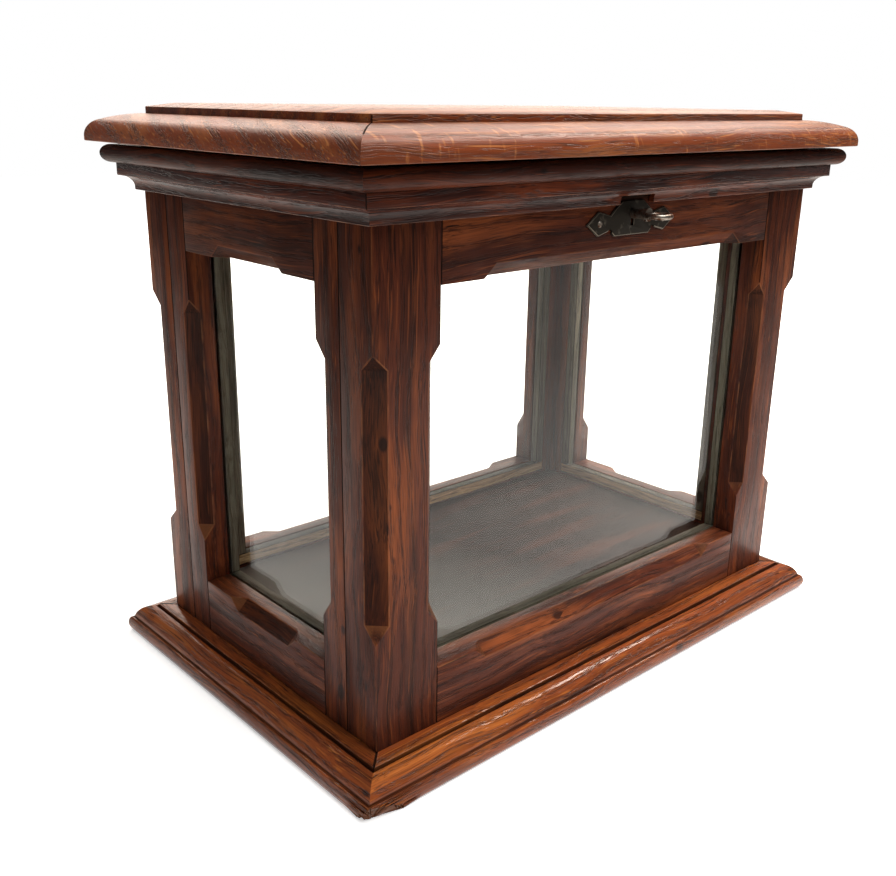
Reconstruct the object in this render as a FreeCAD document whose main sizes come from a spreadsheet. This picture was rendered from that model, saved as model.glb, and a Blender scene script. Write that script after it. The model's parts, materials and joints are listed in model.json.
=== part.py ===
import FreeCAD, Part
import math
import os
from collections import namedtuple

import Sketcher

# A table-top display case in oak: four glazed frames on a moulded base, a cornice and a half-round rim at the
# top, and a moulded lid that swings up on two butt hinges at the back and locks at the front.
# Millimetres, +Z up, the front faces -Y, and the origin is on the floor under the middle of the case.

SIZES = {
    # The four frames
    "frame_width": 400,
    "frame_depth": 240,
    "frame_height": 330,
    "frame_thickness": 28,
    "front_stile_width": 46,
    "side_stile_width": 22,
    "top_rail_height": 64,
    "bottom_rail_height": 38,
    "front_tenon_length": 30,
    "side_tenon_length": 14,
    "tenon_thickness": 9,
    "tenon_setback": 5,
    "tenon_shoulder": 8,
    "joint_clearance": 0.1,
    # Glass and glazing beads
    "glass_setback": 17.5,
    "glass_thickness": 3,
    "glass_play": 1,
    "rebate_width": 8,
    "bead_depth": 7,
    # Stopped chamfers
    "edge_chamfer": 8,
    "corner_chamfer": 10,
    "stop_length": 9.5,
    "stop_distance": 31,
    # Base
    "base_height": 22,
    "base_projection": 26.8,
    "base_inside": 12,
    "ledge_width": 9.5,
    "quirk_width": 1.8,
    "quirk_depth": 3.6,
    "ovolo_drop": 1.8,
    "ovolo_radius": 12.2,
    "nosing_height": 10.4,
    "nosing_bulge": 1.8,
    # Floor panel
    "floor_height": 28,
    "floor_thickness": 8,
    "floor_tongue": 6,
    # Cornice and rim
    "cornice_height": 17,
    "cornice_projection": 12.3,
    "cornice_foot": 4.3,
    "cove_start": 2,
    "cove_radius": 7,
    "rim_thickness": 11.4,
    "rim_projection": 19.5,
    "lid_gap": 1.6,
    # Lid
    "lid_overhang": 24.5,
    "lid_back_extra": 5,
    "lid_member_width": 58.5,
    "lid_square": 3,
    "thumb_width": 29,
    "thumb_height": 17.5,
    "nose_radius": 11,
    "crown_radius": 70,
    "panel_seat": 10,
    "panel_thickness": 14,
    "panel_play": 0.3,
    "bevel_rise": 2.4,
    "bevel_width": 14,
    # Hinges
    "hinge_length": 50,
    "hinge_inset": 19,
    "hinge_set_back": 1.5,
    "leaf_thickness": 1.1,
    "leaf_gap": 0.2,
    "leaf_reach": 14,
    "knuckle_radius": 2.5,
    "knuckle_length": 12.5,
    "knuckle_gap": 0.3,
    "housing_clearance": 0.4,
    "hinge_pin_radius": 1.2,
    "pin_clearance": 0.03,
    "hinge_screw_spread": 17,
    # Lock, seen in the front frame
    "key_drop": 36,
    "lock_plate_width": 80,
    "lock_plate_margin": 2,
    "lock_plate_thickness": 2,
    "lock_case_width": 60,
    "lock_case_lift": 1,
    "lock_case_depth": 10,
    "lock_wall": 1.5,
    "lock_cap_thickness": 1.2,
    "selvedge_depth": 16,
    "selvedge_thickness": 1.5,
    "lock_screw_inset": 5,
    "drill_pin_radius": 1.2,
    "bolt_lift": 5.2,
    "bolt_height": 7,
    "bolt_thickness": 3,
    "bolt_left": 28,
    "bolt_right": 20,
    "bolt_throw": 6,
    "finger_height": 4,
    "riser_width": 4,
    "talon_start": 9.1,
    "talon_width": 4.7,
    "bolt_seat_width": 6,
    "bolt_seat_height": 4,
    "bolt_seat_place": 20,
    "bolt_clearance": 0.15,
    # Link plate under the lid
    "link_plate_width": 60,
    "link_plate_depth": 14,
    "link_plate_thickness": 1.5,
    "link_place": 16,
    "link_thickness": 2.4,
    "link_width": 7,
    "link_length": 16,
    "link_eye_drop": 9,
    "link_play": 0.8,
    "link_stand_off": 0.8,
    "link_screw_place": 25,
    # Key and escutcheon
    "key_radius": 3,
    "key_clearance": 0.1,
    "key_end_gap": 1,
    "key_bore_depth": 9,
    "key_reach": 13.8,
    "key_collar_radius": 4,
    "key_collar_length": 2.5,
    "bow_radius": 7,
    "bow_wire_radius": 1.7,
    "bit_radius": 7,
    "bit_thickness": 2.4,
    "bit_width": 5,
    "keyhole_play": 0.3,
    "escutcheon_thickness": 1.5,
    "escutcheon_half_length": 42,
    "escutcheon_half_body": 16.5,
    "escutcheon_drop": 13,
    "escutcheon_shoulder": 3.5,
    "escutcheon_bevel": 0.6,
    "crest_half_width": 10,
    "crest_height": 8,
    "lobe_place": 31.5,
    "lobe_half_height": 7.4,
    "lobe_drop": 4.7,
    "neck_place": 20.5,
    "neck_half_height": 4.6,
    "neck_hole_radius": 2,
    "hood_half_width": 16,
    "hood_height": 5,
    "nail_place": 30.5,
    "nail_head_radius": 2,
    "nail_head_height": 1,
    "nail_radius": 0.9,
    "nail_length": 9,
    # Screws
    "screw_clearance": 0.03,
    "small_head_radius": 2.4,
    "small_screw_radius": 1.3,
    "small_screw_length": 9,
    "base_head_radius": 4,
    "base_head_height": 3,
    "base_screw_radius": 1.9,
    "base_screw_sink": 8,
    "base_screw_grip": 16,
    "base_screw_inset": 30,
    "slot_width": 0.6,
    "slot_depth": 0.5,
}

TURNS = {0: (1, 0), 180: (-1, 0), -90: (0, -1), 90: (0, 1)}  # cosine and sine of each side's angle
BOTH = (-1, 1)
CUT_MARGIN = 1  # how far a cutting outline runs past the stock
POINTING_UP = FreeCAD.Rotation()
POINTING_DOWN = FreeCAD.Rotation(FreeCAD.Vector(1, 0, 0), 180)
POINTING_BACK = FreeCAD.Rotation(FreeCAD.Vector(1, 0, 0), -90)
POINTING_FRONT = FreeCAD.Rotation(FreeCAD.Vector(1, 0, 0), 90)

Side = namedtuple("Side", "name angle x y")


class Size:
    """A size in millimetres, with the expression on the sheet that gives it."""

    def __init__(self, text, value):
        self.text = text
        self.value = value

    def joined(self, other, sign, value):
        return Size(f"({self.text} {sign} {as_size(other).text})", value)

    def __add__(self, other):
        return self.joined(other, "+", self.value + as_size(other).value)

    def __sub__(self, other):
        return self.joined(other, "-", self.value - as_size(other).value)

    def __mul__(self, other):
        return self.joined(other, "*", self.value * as_size(other).value)

    def __truediv__(self, other):
        return self.joined(other, "/", self.value / as_size(other).value)

    def __neg__(self):
        return self * -1


def as_size(number):
    return number if isinstance(number, Size) else Size(repr(number), number)


def root(square):
    return Size(f"sqrt({square.text})", math.sqrt(square.value))


def bind(thing, name, number):
    """Ties a property of a document object to the sheet."""
    thing.setExpression(name, as_size(number).text)


def make_sheet(document):
    sheet = document.addObject("Spreadsheet::Sheet", "Sizes")
    for row, (alias, number) in enumerate(SIZES.items(), start=1):
        sheet.set(f"A{row}", alias)
        sheet.set(f"B{row}", str(number))
        sheet.setAlias(f"B{row}", alias)
    document.recompute()
    return {alias: Size(f"Sizes.{alias}", float(sheet.get(alias))) for alias in SIZES}


document = FreeCAD.newDocument("display_case")
size = namedtuple("Sizes", SIZES)(**make_sheet(document))
nodes = []

# Levels and places that several pieces share
opening_bottom = size.bottom_rail_height
opening_top = size.frame_height - size.top_rail_height
frame_top = size.base_height + size.frame_height
rim_bottom = frame_top - size.lid_gap - size.rim_thickness
cornice_bottom = rim_bottom - size.cornice_height
hinge_height = frame_top - size.lid_gap + size.leaf_thickness + size.leaf_gap / 2
hinge_reach = size.rim_projection + size.hinge_set_back
lid_half_width = size.frame_width / 2 + size.lid_overhang
lid_half_depth = size.frame_depth / 2 + size.lid_overhang + size.lid_back_extra / 2
key_height = size.frame_height - size.key_drop
bolt_middle = size.frame_thickness - size.lock_plate_thickness - size.lock_case_depth / 2
pilot_radius = size.small_screw_radius + size.screw_clearance
pilot_depth = size.small_screw_length + size.screw_clearance

CARCASE_SIDES = (
    Side("front", 0, as_size(0), -size.frame_depth / 2),
    Side("back", 180, as_size(0), size.frame_depth / 2),
    Side("left", -90, -size.frame_width / 2, as_size(0)),
    Side("right", 90, size.frame_width / 2, as_size(0)),
)
FRONT = CARCASE_SIDES[0]
LID_SIDES = (
    Side("front", 0, as_size(0), -size.frame_depth / 2 - size.lid_overhang),
    Side("back", 180, as_size(0), size.frame_depth / 2 + size.lid_overhang + size.lid_back_extra),
    Side("left", -90, -lid_half_width, size.lid_back_extra / 2),
    Side("right", 90, lid_half_width, size.lid_back_extra / 2),
)
STILE_ENDS = {
    "front": {-1: "left", 1: "right"},
    "back": {-1: "right", 1: "left"},
    "left": {-1: "back", 1: "front"},
    "right": {-1: "front", 1: "back"},
}


def spot(side, along, inward):
    """The floor place of a point given along a side and inward from its outer face."""
    cosine, sine = TURNS[side.angle]
    along, inward = as_size(along), as_size(inward)
    return side.x + along * cosine - inward * sine, side.y + along * sine + inward * cosine


def place(thing, side, up, along=0, inward=0):
    """Stands a piece on one side of the case, turned to face outward there."""
    x, y = spot(side, along, inward)
    put(thing, x, y, up, FreeCAD.Rotation(FreeCAD.Vector(0, 0, 1), side.angle))


def put(thing, x, y, z, rotation=POINTING_UP):
    """Puts a piece at a point, with a rotation of its own."""
    thing.Placement = FreeCAD.Placement(FreeCAD.Vector(), rotation)
    for axis, number in zip("xyz", (x, y, z)):
        bind(thing, f"Placement.Base.{axis}", number)


def keep(thing, label):
    """Names a finished sub-part."""
    thing.Label = label
    nodes.append(thing)
    return thing


def new_body(label):
    return keep(document.addObject("PartDesign::Body", label), label)


def attach(thing, body, plane, offset, turn):
    """Ties a sketch or a cut to one of its body's own planes, moved and turned from it."""
    support = [feature for feature in body.Origin.OriginFeatures if feature.Role == plane][0]
    thing.AttachmentSupport = [(support, "")]
    thing.MapMode = "FlatFace"
    thing.AttachmentOffset = FreeCAD.Placement(FreeCAD.Vector(), turn)
    for axis, number in zip("xyz", offset):
        bind(thing, f"AttachmentOffset.Base.{axis}", number)


def new_sketch(body, name, plane, offset=(0, 0, 0), turn=POINTING_UP):
    sketch = body.newObject("Sketcher::SketchObject", name)
    attach(sketch, body, plane, offset, turn)
    return sketch


def fix(sketch, geometry, point, x=None, y=None):
    """Holds a point of a sketch at sheet sizes from the sketch's origin."""
    for kind, number in (("DistanceX", x), ("DistanceY", y)):
        if number is not None:
            number = as_size(number)
            index = sketch.addConstraint(Sketcher.Constraint(kind, -1, 1, geometry, point, number.value))
            bind(sketch, f"Constraints[{index}]", number)


def fix_radius(sketch, geometry, radius):
    index = sketch.addConstraint(Sketcher.Constraint("Radius", geometry, radius.value))
    bind(sketch, f"Constraints[{index}]", radius)


def point_of(x, y):
    return FreeCAD.Vector(as_size(x).value, as_size(y).value, 0)


def arc_between(start, end, centre):
    """An arc drawn anticlockwise from one point to another."""
    radius = (start - centre).Length
    angles = [math.atan2(spoke.y, spoke.x) for spoke in (start - centre, end - centre)]
    return Part.ArcOfCircle(Part.Circle(centre, FreeCAD.Vector(0, 0, 1), radius), *angles)


def draw_outline(sketch, corners, arcs=None):
    """A closed outline. arcs gives, for the edge after a corner, its centre and whether it turns left."""
    arcs = arcs or {}
    first = sketch.GeometryCount
    count = len(corners)
    ends = []
    for i, corner in enumerate(corners):
        start, end = point_of(*corner), point_of(*corners[(i + 1) % count])
        if i not in arcs:
            sketch.addGeometry(Part.LineSegment(start, end), False)
            ends.append((1, 2))
            continue
        centre, turns_left = arcs[i]
        if not turns_left:
            start, end = end, start
        sketch.addGeometry(arc_between(start, end, point_of(*centre)), False)
        ends.append((1, 2) if turns_left else (2, 1))
    for i, corner in enumerate(corners):
        after = (i + 1) % count
        joined = (first + i, ends[i][1], first + after, ends[after][0])
        sketch.addConstraint(Sketcher.Constraint("Coincident", *joined))
        fix(sketch, first + i, ends[i][0], *corner)
    for i, (centre, turns_left) in arcs.items():
        fix(sketch, first + i, 3, x=centre[0])


def draw_circle(sketch, x, y, radius):
    radius = as_size(radius)
    index = sketch.addGeometry(Part.Circle(point_of(x, y), FreeCAD.Vector(0, 0, 1), radius.value), False)
    fix(sketch, index, 3, x, y)
    fix_radius(sketch, index, radius)


def rectangle(x, y):
    return [(x[0], y[0]), (x[1], y[0]), (x[1], y[1]), (x[0], y[1])]


def pad(body, name, sketch, length, symmetric=False):
    feature = body.newObject("PartDesign::Pad", name)
    feature.Profile = sketch
    bind(feature, "Length", length)
    feature.SideType = "Symmetric" if symmetric else "One side"
    return feature


def pocket(body, name, sketch, length, reverse=False):
    feature = body.newObject("PartDesign::Pocket", name)
    feature.Profile = sketch
    bind(feature, "Length", length)
    feature.Reversed = reverse
    return feature


def pocket_through(body, name, sketch):
    feature = body.newObject("PartDesign::Pocket", name)
    feature.Profile = sketch
    feature.SideType = "Symmetric"
    feature.Type = "ThroughAll"
    return feature


def add_block(body, name, x, y, z):
    """Adds a block between two limits each way."""
    sketch = new_sketch(body, f"{name}_outline", "XY_Plane", (0, 0, z[0]))
    draw_outline(sketch, rectangle(x, y))
    return pad(body, name, sketch, as_size(z[1]) - z[0])


def cut_block(body, name, x, y, z):
    """Cuts away a block between two limits each way."""
    sketch = new_sketch(body, f"{name}_outline", "XY_Plane", (0, 0, z[0]))
    draw_outline(sketch, rectangle(x, y))
    return pocket(body, name, sketch, as_size(z[1]) - z[0], reverse=True)


def drill_up(body, name, spots, radius, z):
    """Drills upright holes between two heights."""
    sketch = new_sketch(body, f"{name}_outline", "XY_Plane", (0, 0, z[0]))
    for x, y in spots:
        draw_circle(sketch, x, y, radius)
    pocket(body, name, sketch, as_size(z[1]) - z[0], reverse=True)


def drill_back(body, name, spots, radius, y):
    """Drills holes from front to back between two depths."""
    sketch = new_sketch(body, f"{name}_outline", "XZ_Plane", (0, 0, -as_size(y[0])))
    for x, z in spots:
        draw_circle(sketch, x, z, radius)
    pocket(body, name, sketch, as_size(y[1]) - y[0])


def countersink(body, spots, plane, level, depth, turn=POINTING_UP):
    """Cones for small screws' heads through a leaf or plate, widest at one level of a plane."""
    for x, y in spots:
        cone = body.newObject("PartDesign::SubtractiveCone", "screw_hole")
        attach(cone, body, plane, (x, y, level), turn)
        bind(cone, "Radius1", size.small_head_radius + size.screw_clearance)
        bind(cone, "Radius2", pilot_radius)
        bind(cone, "Height", depth)


# Frames


def run_of(side):
    """Half the length of a side's frame, its stiles' width and its tenons' length."""
    if side.name in ("front", "back"):
        return size.frame_width / 2, size.front_stile_width, size.front_tenon_length
    return size.frame_depth / 2 - size.frame_thickness, size.side_stile_width, size.side_tenon_length


def tenon_heights(rail_bottom, rail_height):
    return rail_bottom + size.tenon_shoulder, rail_bottom + rail_height - size.tenon_shoulder


def stop_chamfer(body, name, leg, ends, offset, turn, upright):
    """A chamfer that ends in a sloping stop at each end, cut from a plane through the edge.

    ends are the points of the two stops along the edge, and the cut's depth is square to the chamfer.
    """
    depth = leg / root(as_size(2))
    low, high = as_size(ends[0]), as_size(ends[1])
    corners = [
        (low - size.stop_length, -depth),
        (high + size.stop_length, -depth),
        (high - size.stop_length, depth),
        (low + size.stop_length, depth),
    ]
    if upright:
        corners = [(across, along) for along, across in corners]
    sketch = new_sketch(body, f"{name}_outline", "XZ_Plane", offset, turn)
    draw_outline(sketch, corners)
    pocket_through(body, name, sketch)


def chamfer_upright(body, name, leg, edge, toward):
    """A stopped chamfer up a stile's outer edge, into stock that lies toward one hand."""
    turn = FreeCAD.Rotation(FreeCAD.Vector(0, 1, 0), 90 - 45 * toward)
    ends = opening_bottom + size.stop_distance, opening_top - size.stop_distance
    stop_chamfer(body, name, leg, ends, (edge, 0, 0), turn, upright=True)


def chamfer_along(body, name, leg, half, height, upward):
    """A stopped chamfer along a rail's outer edge, into stock that lies above or below it."""
    turn = FreeCAD.Rotation(FreeCAD.Vector(1, 0, 0), -45 if upward else -135)
    end = half - size.stop_distance
    stop_chamfer(body, name, leg, (-end, end), (0, height, 0), turn, upright=False)


def make_stile(side, hand):
    half, width, tenon = run_of(side)
    outer, inner = half * hand, (half - width) * hand
    slack = size.joint_clearance
    body = new_body(f"{side.name}_stile_{STILE_ENDS[side.name][hand]}")
    add_block(body, "stile", (outer, inner), (0, size.frame_thickness), (0, size.frame_height))
    cut_block(
        body,
        "rebate",
        (inner + size.rebate_width * hand, inner),
        (size.glass_setback, size.frame_thickness),
        (opening_bottom - size.rebate_width, opening_top + size.rebate_width),
    )
    rails = ((as_size(0), size.bottom_rail_height), (opening_top, size.top_rail_height))
    for bottom, height in rails:
        low, high = tenon_heights(bottom, height)
        cut_block(
            body,
            "mortise",
            (inner, inner + (tenon + slack) * hand),
            (size.tenon_setback - slack, size.tenon_setback + size.tenon_thickness + slack),
            (low - slack, high + slack),
        )
    chamfer_upright(body, "edge_chamfer", size.edge_chamfer, inner, hand)
    if side.name in ("front", "back"):
        chamfer_upright(body, "corner_chamfer", size.corner_chamfer, outer, -hand)
    place(body, side, size.base_height)
    return body


def make_rail(side, name, bottom, height):
    """A rail between the stiles, with a tenon at each end."""
    half, width, tenon = run_of(side)
    shoulder = half - width
    body = new_body(f"{side.name}_{name}_rail")
    add_block(body, "rail", (-shoulder, shoulder), (0, size.frame_thickness), (bottom, bottom + height))
    for hand in BOTH:
        add_block(
            body,
            "tenon",
            (shoulder * hand, (shoulder + tenon) * hand),
            (size.tenon_setback, size.tenon_setback + size.tenon_thickness),
            tenon_heights(bottom, height),
        )
    place(body, side, size.base_height)
    return body, shoulder


def make_top_rail(side):
    body, shoulder = make_rail(side, "top", opening_top, size.top_rail_height)
    rebate = (opening_top, opening_top + size.rebate_width)
    cut_block(body, "rebate", (-shoulder, shoulder), (size.glass_setback, size.frame_thickness), rebate)
    chamfer_along(body, "edge_chamfer", size.edge_chamfer, shoulder, opening_top, upward=True)
    if side.name == "front":
        cut_lock_seat(body)
    if side.name == "back":
        cut_hinge_seats(body)


def make_bottom_rail(side):
    body, shoulder = make_rail(side, "bottom", as_size(0), size.bottom_rail_height)
    rebate = (opening_bottom - size.rebate_width, opening_bottom)
    cut_block(body, "rebate", (-shoulder, shoulder), (size.glass_setback, size.frame_thickness), rebate)
    groove = (
        size.floor_height - size.floor_thickness - size.joint_clearance,
        size.floor_height + size.joint_clearance,
    )
    groove_bottom = size.frame_thickness - size.floor_tongue - size.joint_clearance
    cut_block(body, "floor_groove", (-shoulder, shoulder), (groove_bottom, size.frame_thickness), groove)
    chamfer_along(body, "edge_chamfer", size.edge_chamfer, shoulder, opening_bottom, upward=False)
    depth = size.base_screw_grip + size.screw_clearance
    radius = size.base_screw_radius + size.screw_clearance
    drill_up(body, "base_pilots", base_screw_spots(side), radius, (0, depth))


def make_glazing(side):
    """A pane in the frame's rebate and the four beads that hold it there."""
    half, width, tenon = run_of(side)
    opening = half - width
    cover = size.rebate_width - size.glass_play
    pane = keep(document.addObject("Part::Box", f"{side.name}_glass"), f"{side.name}_glass")
    bind(pane, "Length", (opening + cover) * 2)
    bind(pane, "Width", size.glass_thickness)
    bind(pane, "Height", opening_top - opening_bottom + cover * 2)
    place(pane, side, size.base_height + opening_bottom - cover, -opening - cover, size.glass_setback)

    behind = size.glass_setback + size.glass_thickness
    long_bead = (opening + size.rebate_width) * 2
    short_bead = opening_top - opening_bottom
    bead_boxes = (
        (-opening - size.rebate_width, opening_bottom - size.rebate_width, long_bead, size.rebate_width),
        (-opening - size.rebate_width, opening_top, long_bead, size.rebate_width),
        (-opening - size.rebate_width, opening_bottom, size.rebate_width, short_bead),
        (opening, opening_bottom, size.rebate_width, short_bead),
    )
    beads = []
    for along, up, length, height in bead_boxes:
        bead = document.addObject("Part::Box", f"{side.name}_bead")
        bind(bead, "Length", length)
        bind(bead, "Width", size.bead_depth)
        bind(bead, "Height", height)
        place(bead, side, size.base_height + up, along, behind)
        beads.append(bead)
    group(f"{side.name}_glazing_beads", beads)


def group(label, pieces):
    """Separate solids of one kind that share a node."""
    compound = keep(document.addObject("Part::Compound", label), label)
    compound.Links = pieces
    return compound


def make_floor():
    """A panel with a tongue along each edge, clear of the stiles at its corners."""
    body = new_body("floor_panel")
    slack = size.joint_clearance
    inner_x = size.frame_width / 2 - size.frame_thickness - slack
    inner_y = size.frame_depth / 2 - size.frame_thickness - slack
    tongue_x = size.frame_width / 2 - size.front_stile_width - slack
    tongue_y = size.frame_depth / 2 - size.frame_thickness - size.side_stile_width - slack
    heights = (size.floor_height - size.floor_thickness, size.floor_height)
    reach = size.floor_tongue
    for name, x, y in (
        ("panel", inner_x, inner_y),
        ("long_tongues", tongue_x, inner_y + reach),
        ("short_tongues", inner_x + reach, tongue_y),
    ):
        add_block(body, name, (-x, x), (-y, y), heights)
    put(body, 0, 0, size.base_height)


# Mouldings


def cut_mitres(body, half, outer, inner):
    """Cuts both ends of a moulding at 45 degrees through the corner of its run."""
    near, far = as_size(outer) - CUT_MARGIN, as_size(inner) + CUT_MARGIN
    sketch = new_sketch(body, "mitre_outline", "XY_Plane")
    for hand in BOTH:
        draw_outline(
            sketch,
            [((half - far) * hand, far), ((half - near) * hand, near), ((half - near) * hand, far)],
        )
    pocket_through(body, "mitres", sketch)


def half_run(side):
    return size.frame_width / 2 if side.name in ("front", "back") else size.frame_depth / 2


def make_moulding(side, label, draw_profile, projection, inside, up):
    """A mitred length with a profile, standing out from the frames' outer faces."""
    body = new_body(f"{label}_{side.name}")
    sketch = new_sketch(body, "profile", "YZ_Plane")
    draw_profile(sketch)
    pad(body, "length", sketch, (half_run(side) + projection) * 2, symmetric=True)
    cut_mitres(body, half_run(side), -projection, inside)
    place(body, side, up)
    return body


def draw_base_profile(sketch):
    """A ledge, a quirk, an ovolo and a swelling nosing."""
    inside = size.frame_thickness + size.base_inside
    nose_edge = size.base_projection - size.nosing_bulge
    half_nose = size.nosing_height / 2
    nose_radius = (half_nose * half_nose + size.nosing_bulge * size.nosing_bulge) / (size.nosing_bulge * 2)
    ovolo_top = size.base_height - size.ovolo_drop
    ovolo_start = size.ledge_width + size.quirk_width
    ovolo_centre = ovolo_top - size.ovolo_radius
    below_centre = size.nosing_height - ovolo_centre
    ovolo_foot = ovolo_start + root(size.ovolo_radius * size.ovolo_radius - below_centre * below_centre)
    quirk_bottom = size.base_height - size.quirk_depth
    corners = [
        (inside, 0),
        (-nose_edge, 0),
        (-nose_edge, size.nosing_height),
        (-ovolo_foot, size.nosing_height),
        (-ovolo_start, ovolo_top),
        (-ovolo_start, quirk_bottom),
        (-size.ledge_width, quirk_bottom),
        (-size.ledge_width, size.base_height),
        (inside, size.base_height),
    ]
    arcs = {
        1: ((nose_radius - size.base_projection, half_nose), False),
        3: ((-ovolo_start, ovolo_centre), False),
    }
    draw_outline(sketch, corners, arcs)


def draw_cornice_profile(sketch):
    """A cove under a plain fascia."""
    cove_top = size.cove_start + size.cove_radius
    cove_end = size.cornice_foot + size.cove_radius
    corners = [
        (0, 0),
        (-size.cornice_foot, 0),
        (-size.cornice_foot, size.cove_start),
        (-cove_end, cove_top),
        (-size.cornice_projection, cove_top),
        (-size.cornice_projection, size.cornice_height),
        (0, size.cornice_height),
    ]
    draw_outline(sketch, corners, {2: ((-cove_end, size.cove_start), True)})


def draw_rim_profile(sketch):
    """A strip with a half-round nose."""
    half = size.rim_thickness / 2
    straight = size.rim_projection - half
    corners = [(0, 0), (-straight, 0), (-straight, size.rim_thickness), (0, size.rim_thickness)]
    draw_outline(sketch, corners, {1: ((-straight, half), False)})


def base_screw_spots(side):
    half, width, tenon = run_of(side)
    along = half - width - size.base_screw_inset
    return [(along * hand, size.frame_thickness / 2) for hand in BOTH]


def make_base(side):
    inside = size.frame_thickness + size.base_inside
    body = make_moulding(side, "base_member", draw_base_profile, size.base_projection, inside, as_size(0))
    spots = base_screw_spots(side)
    drill_up(body, "screw_holes", spots, size.base_screw_radius + size.screw_clearance, (0, size.base_height))
    sink_radius = size.base_head_radius + size.joint_clearance
    drill_up(body, "screw_sinks", spots, sink_radius, (0, size.base_screw_sink))


def make_cornice(side):
    body = make_moulding(
        side, "cornice", draw_cornice_profile, size.cornice_projection, as_size(0), cornice_bottom
    )
    if side.name == "front":
        cut_block(
            body,
            "escutcheon_hood",
            (-size.hood_half_width, size.hood_half_width),
            (-size.cornice_projection, 0),
            (0, size.hood_height),
        )


# Lid


def draw_lid_profile(sketch):
    """A square edge and a thumb moulding of two tangent arcs, with a seat for the panel behind it."""
    nose_centre = point_of(size.nose_radius, size.lid_square)
    crown_end = point_of(size.thumb_width, size.thumb_height)
    chord = crown_end - nose_centre
    inner_radius = size.crown_radius.value - size.nose_radius.value
    shift = (chord.Length**2 + inner_radius**2 - size.crown_radius.value**2) / (2 * chord.Length)
    drop = math.sqrt(inner_radius**2 - shift**2)
    along = chord / chord.Length
    crown_centre = nose_centre + along * shift + FreeCAD.Vector(along.y, -along.x, 0) * drop
    meeting = nose_centre + (nose_centre - crown_centre) * (size.nose_radius.value / inner_radius)

    nose, crown = 0, 1
    sketch.addGeometry(arc_between(meeting, point_of(0, size.lid_square), nose_centre), False)
    sketch.addGeometry(arc_between(crown_end, meeting, crown_centre), False)
    fix(sketch, nose, 3, size.nose_radius, size.lid_square)
    fix(sketch, nose, 2, 0)
    sketch.addConstraint(Sketcher.Constraint("Horizontal", nose, 3, nose, 2))
    sketch.addConstraint(Sketcher.Constraint("Tangent", nose, 1, crown, 2))
    fix(sketch, crown, 1, size.thumb_width, size.thumb_height)
    fix_radius(sketch, crown, size.crown_radius)

    corners = [
        (size.thumb_width, size.thumb_height),
        (size.thumb_width, size.panel_seat),
        (size.lid_member_width, size.panel_seat),
        (size.lid_member_width, 0),
        (0, 0),
        (0, size.lid_square),
    ]
    line = crown
    joined = (crown, 1)
    for start, end in zip(corners, corners[1:]):
        sketch.addGeometry(Part.LineSegment(point_of(*start), point_of(*end)), False)
        line += 1
        sketch.addConstraint(Sketcher.Constraint("Coincident", line, 1, *joined))
        joined = (line, 2)
        if end != corners[-1]:
            fix(sketch, line, 2, *end)
    sketch.addConstraint(Sketcher.Constraint("Coincident", line, 2, nose, 2))


def make_lid_member(side):
    half = lid_half_width if side.name in ("front", "back") else lid_half_depth
    body = new_body(f"lid_{side.name}")
    sketch = new_sketch(body, "profile", "YZ_Plane")
    draw_lid_profile(sketch)
    pad(body, "length", sketch, half * 2, symmetric=True)
    cut_mitres(body, half, as_size(0), size.lid_member_width)
    if side.name == "front":
        cut_link_seat(body)
    if side.name == "back":
        cut_lid_hinge_seats(body)
    place(body, side, frame_top)


def make_lid_panel():
    """A board laid in the moulded members, bevelled up to a flat field."""
    body = new_body("lid_panel")
    x = lid_half_width - size.thumb_width - size.panel_play
    y = lid_half_depth - size.thumb_width - size.panel_play
    field_x, field_y = x - size.bevel_width, y - size.bevel_width
    top = size.panel_seat + size.panel_thickness
    edge_top = top - size.bevel_rise
    add_block(body, "board", (-x, x), (-y, y), (size.panel_seat, edge_top))
    margin = new_sketch(body, "margin", "XY_Plane", (0, 0, edge_top))
    draw_outline(margin, rectangle((-x, x), (-y, y)))
    field = new_sketch(body, "field", "XY_Plane", (0, 0, top))
    draw_outline(field, rectangle((-field_x, field_x), (-field_y, field_y)))
    bevel = body.newObject("PartDesign::AdditiveLoft", "bevel")
    bevel.Profile = margin
    bevel.Sections = [field]
    bevel.Ruled = True
    put(body, 0, size.lid_back_extra / 2, frame_top)


# Hinges. Each is drawn about the middle of its pin.

hinge_half = size.hinge_length / 2
plate_front = -(hinge_reach + size.leaf_reach)
plate_back = -(size.knuckle_radius + size.housing_clearance)
hinge_screw_inward = size.leaf_reach / 2
hinge_screws = [as_size(0), size.hinge_screw_spread, -size.hinge_screw_spread]


def hinge_places():
    """The middles of the two hinges, each a little in from the end of the back top rail."""
    along = size.frame_width / 2 - size.front_stile_width - size.hinge_inset - hinge_half
    return ("left", -along), ("right", along)


def make_leaf(label, heights, knuckles, head_height, turn):
    """A plate with its knuckles and countersunk holes."""
    body = new_body(label)
    add_block(body, "plate", (-hinge_half, hinge_half), (plate_front, plate_back), heights)
    for low, high in knuckles:
        add_block(body, "tongue", (low, high), (plate_back, 0), heights)
        circle = new_sketch(body, "knuckle_outline", "YZ_Plane", (0, 0, low))
        draw_circle(circle, 0, 0, size.knuckle_radius)
        pad(body, "knuckle", circle, high - low)
    bore = new_sketch(body, "bore_outline", "YZ_Plane")
    draw_circle(bore, 0, 0, size.hinge_pin_radius + size.pin_clearance)
    pocket_through(body, "bore", bore)
    spots = [(along, plate_front + hinge_screw_inward) for along in hinge_screws]
    countersink(body, spots, "XY_Plane", head_height, size.leaf_thickness, turn)
    return body


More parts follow.
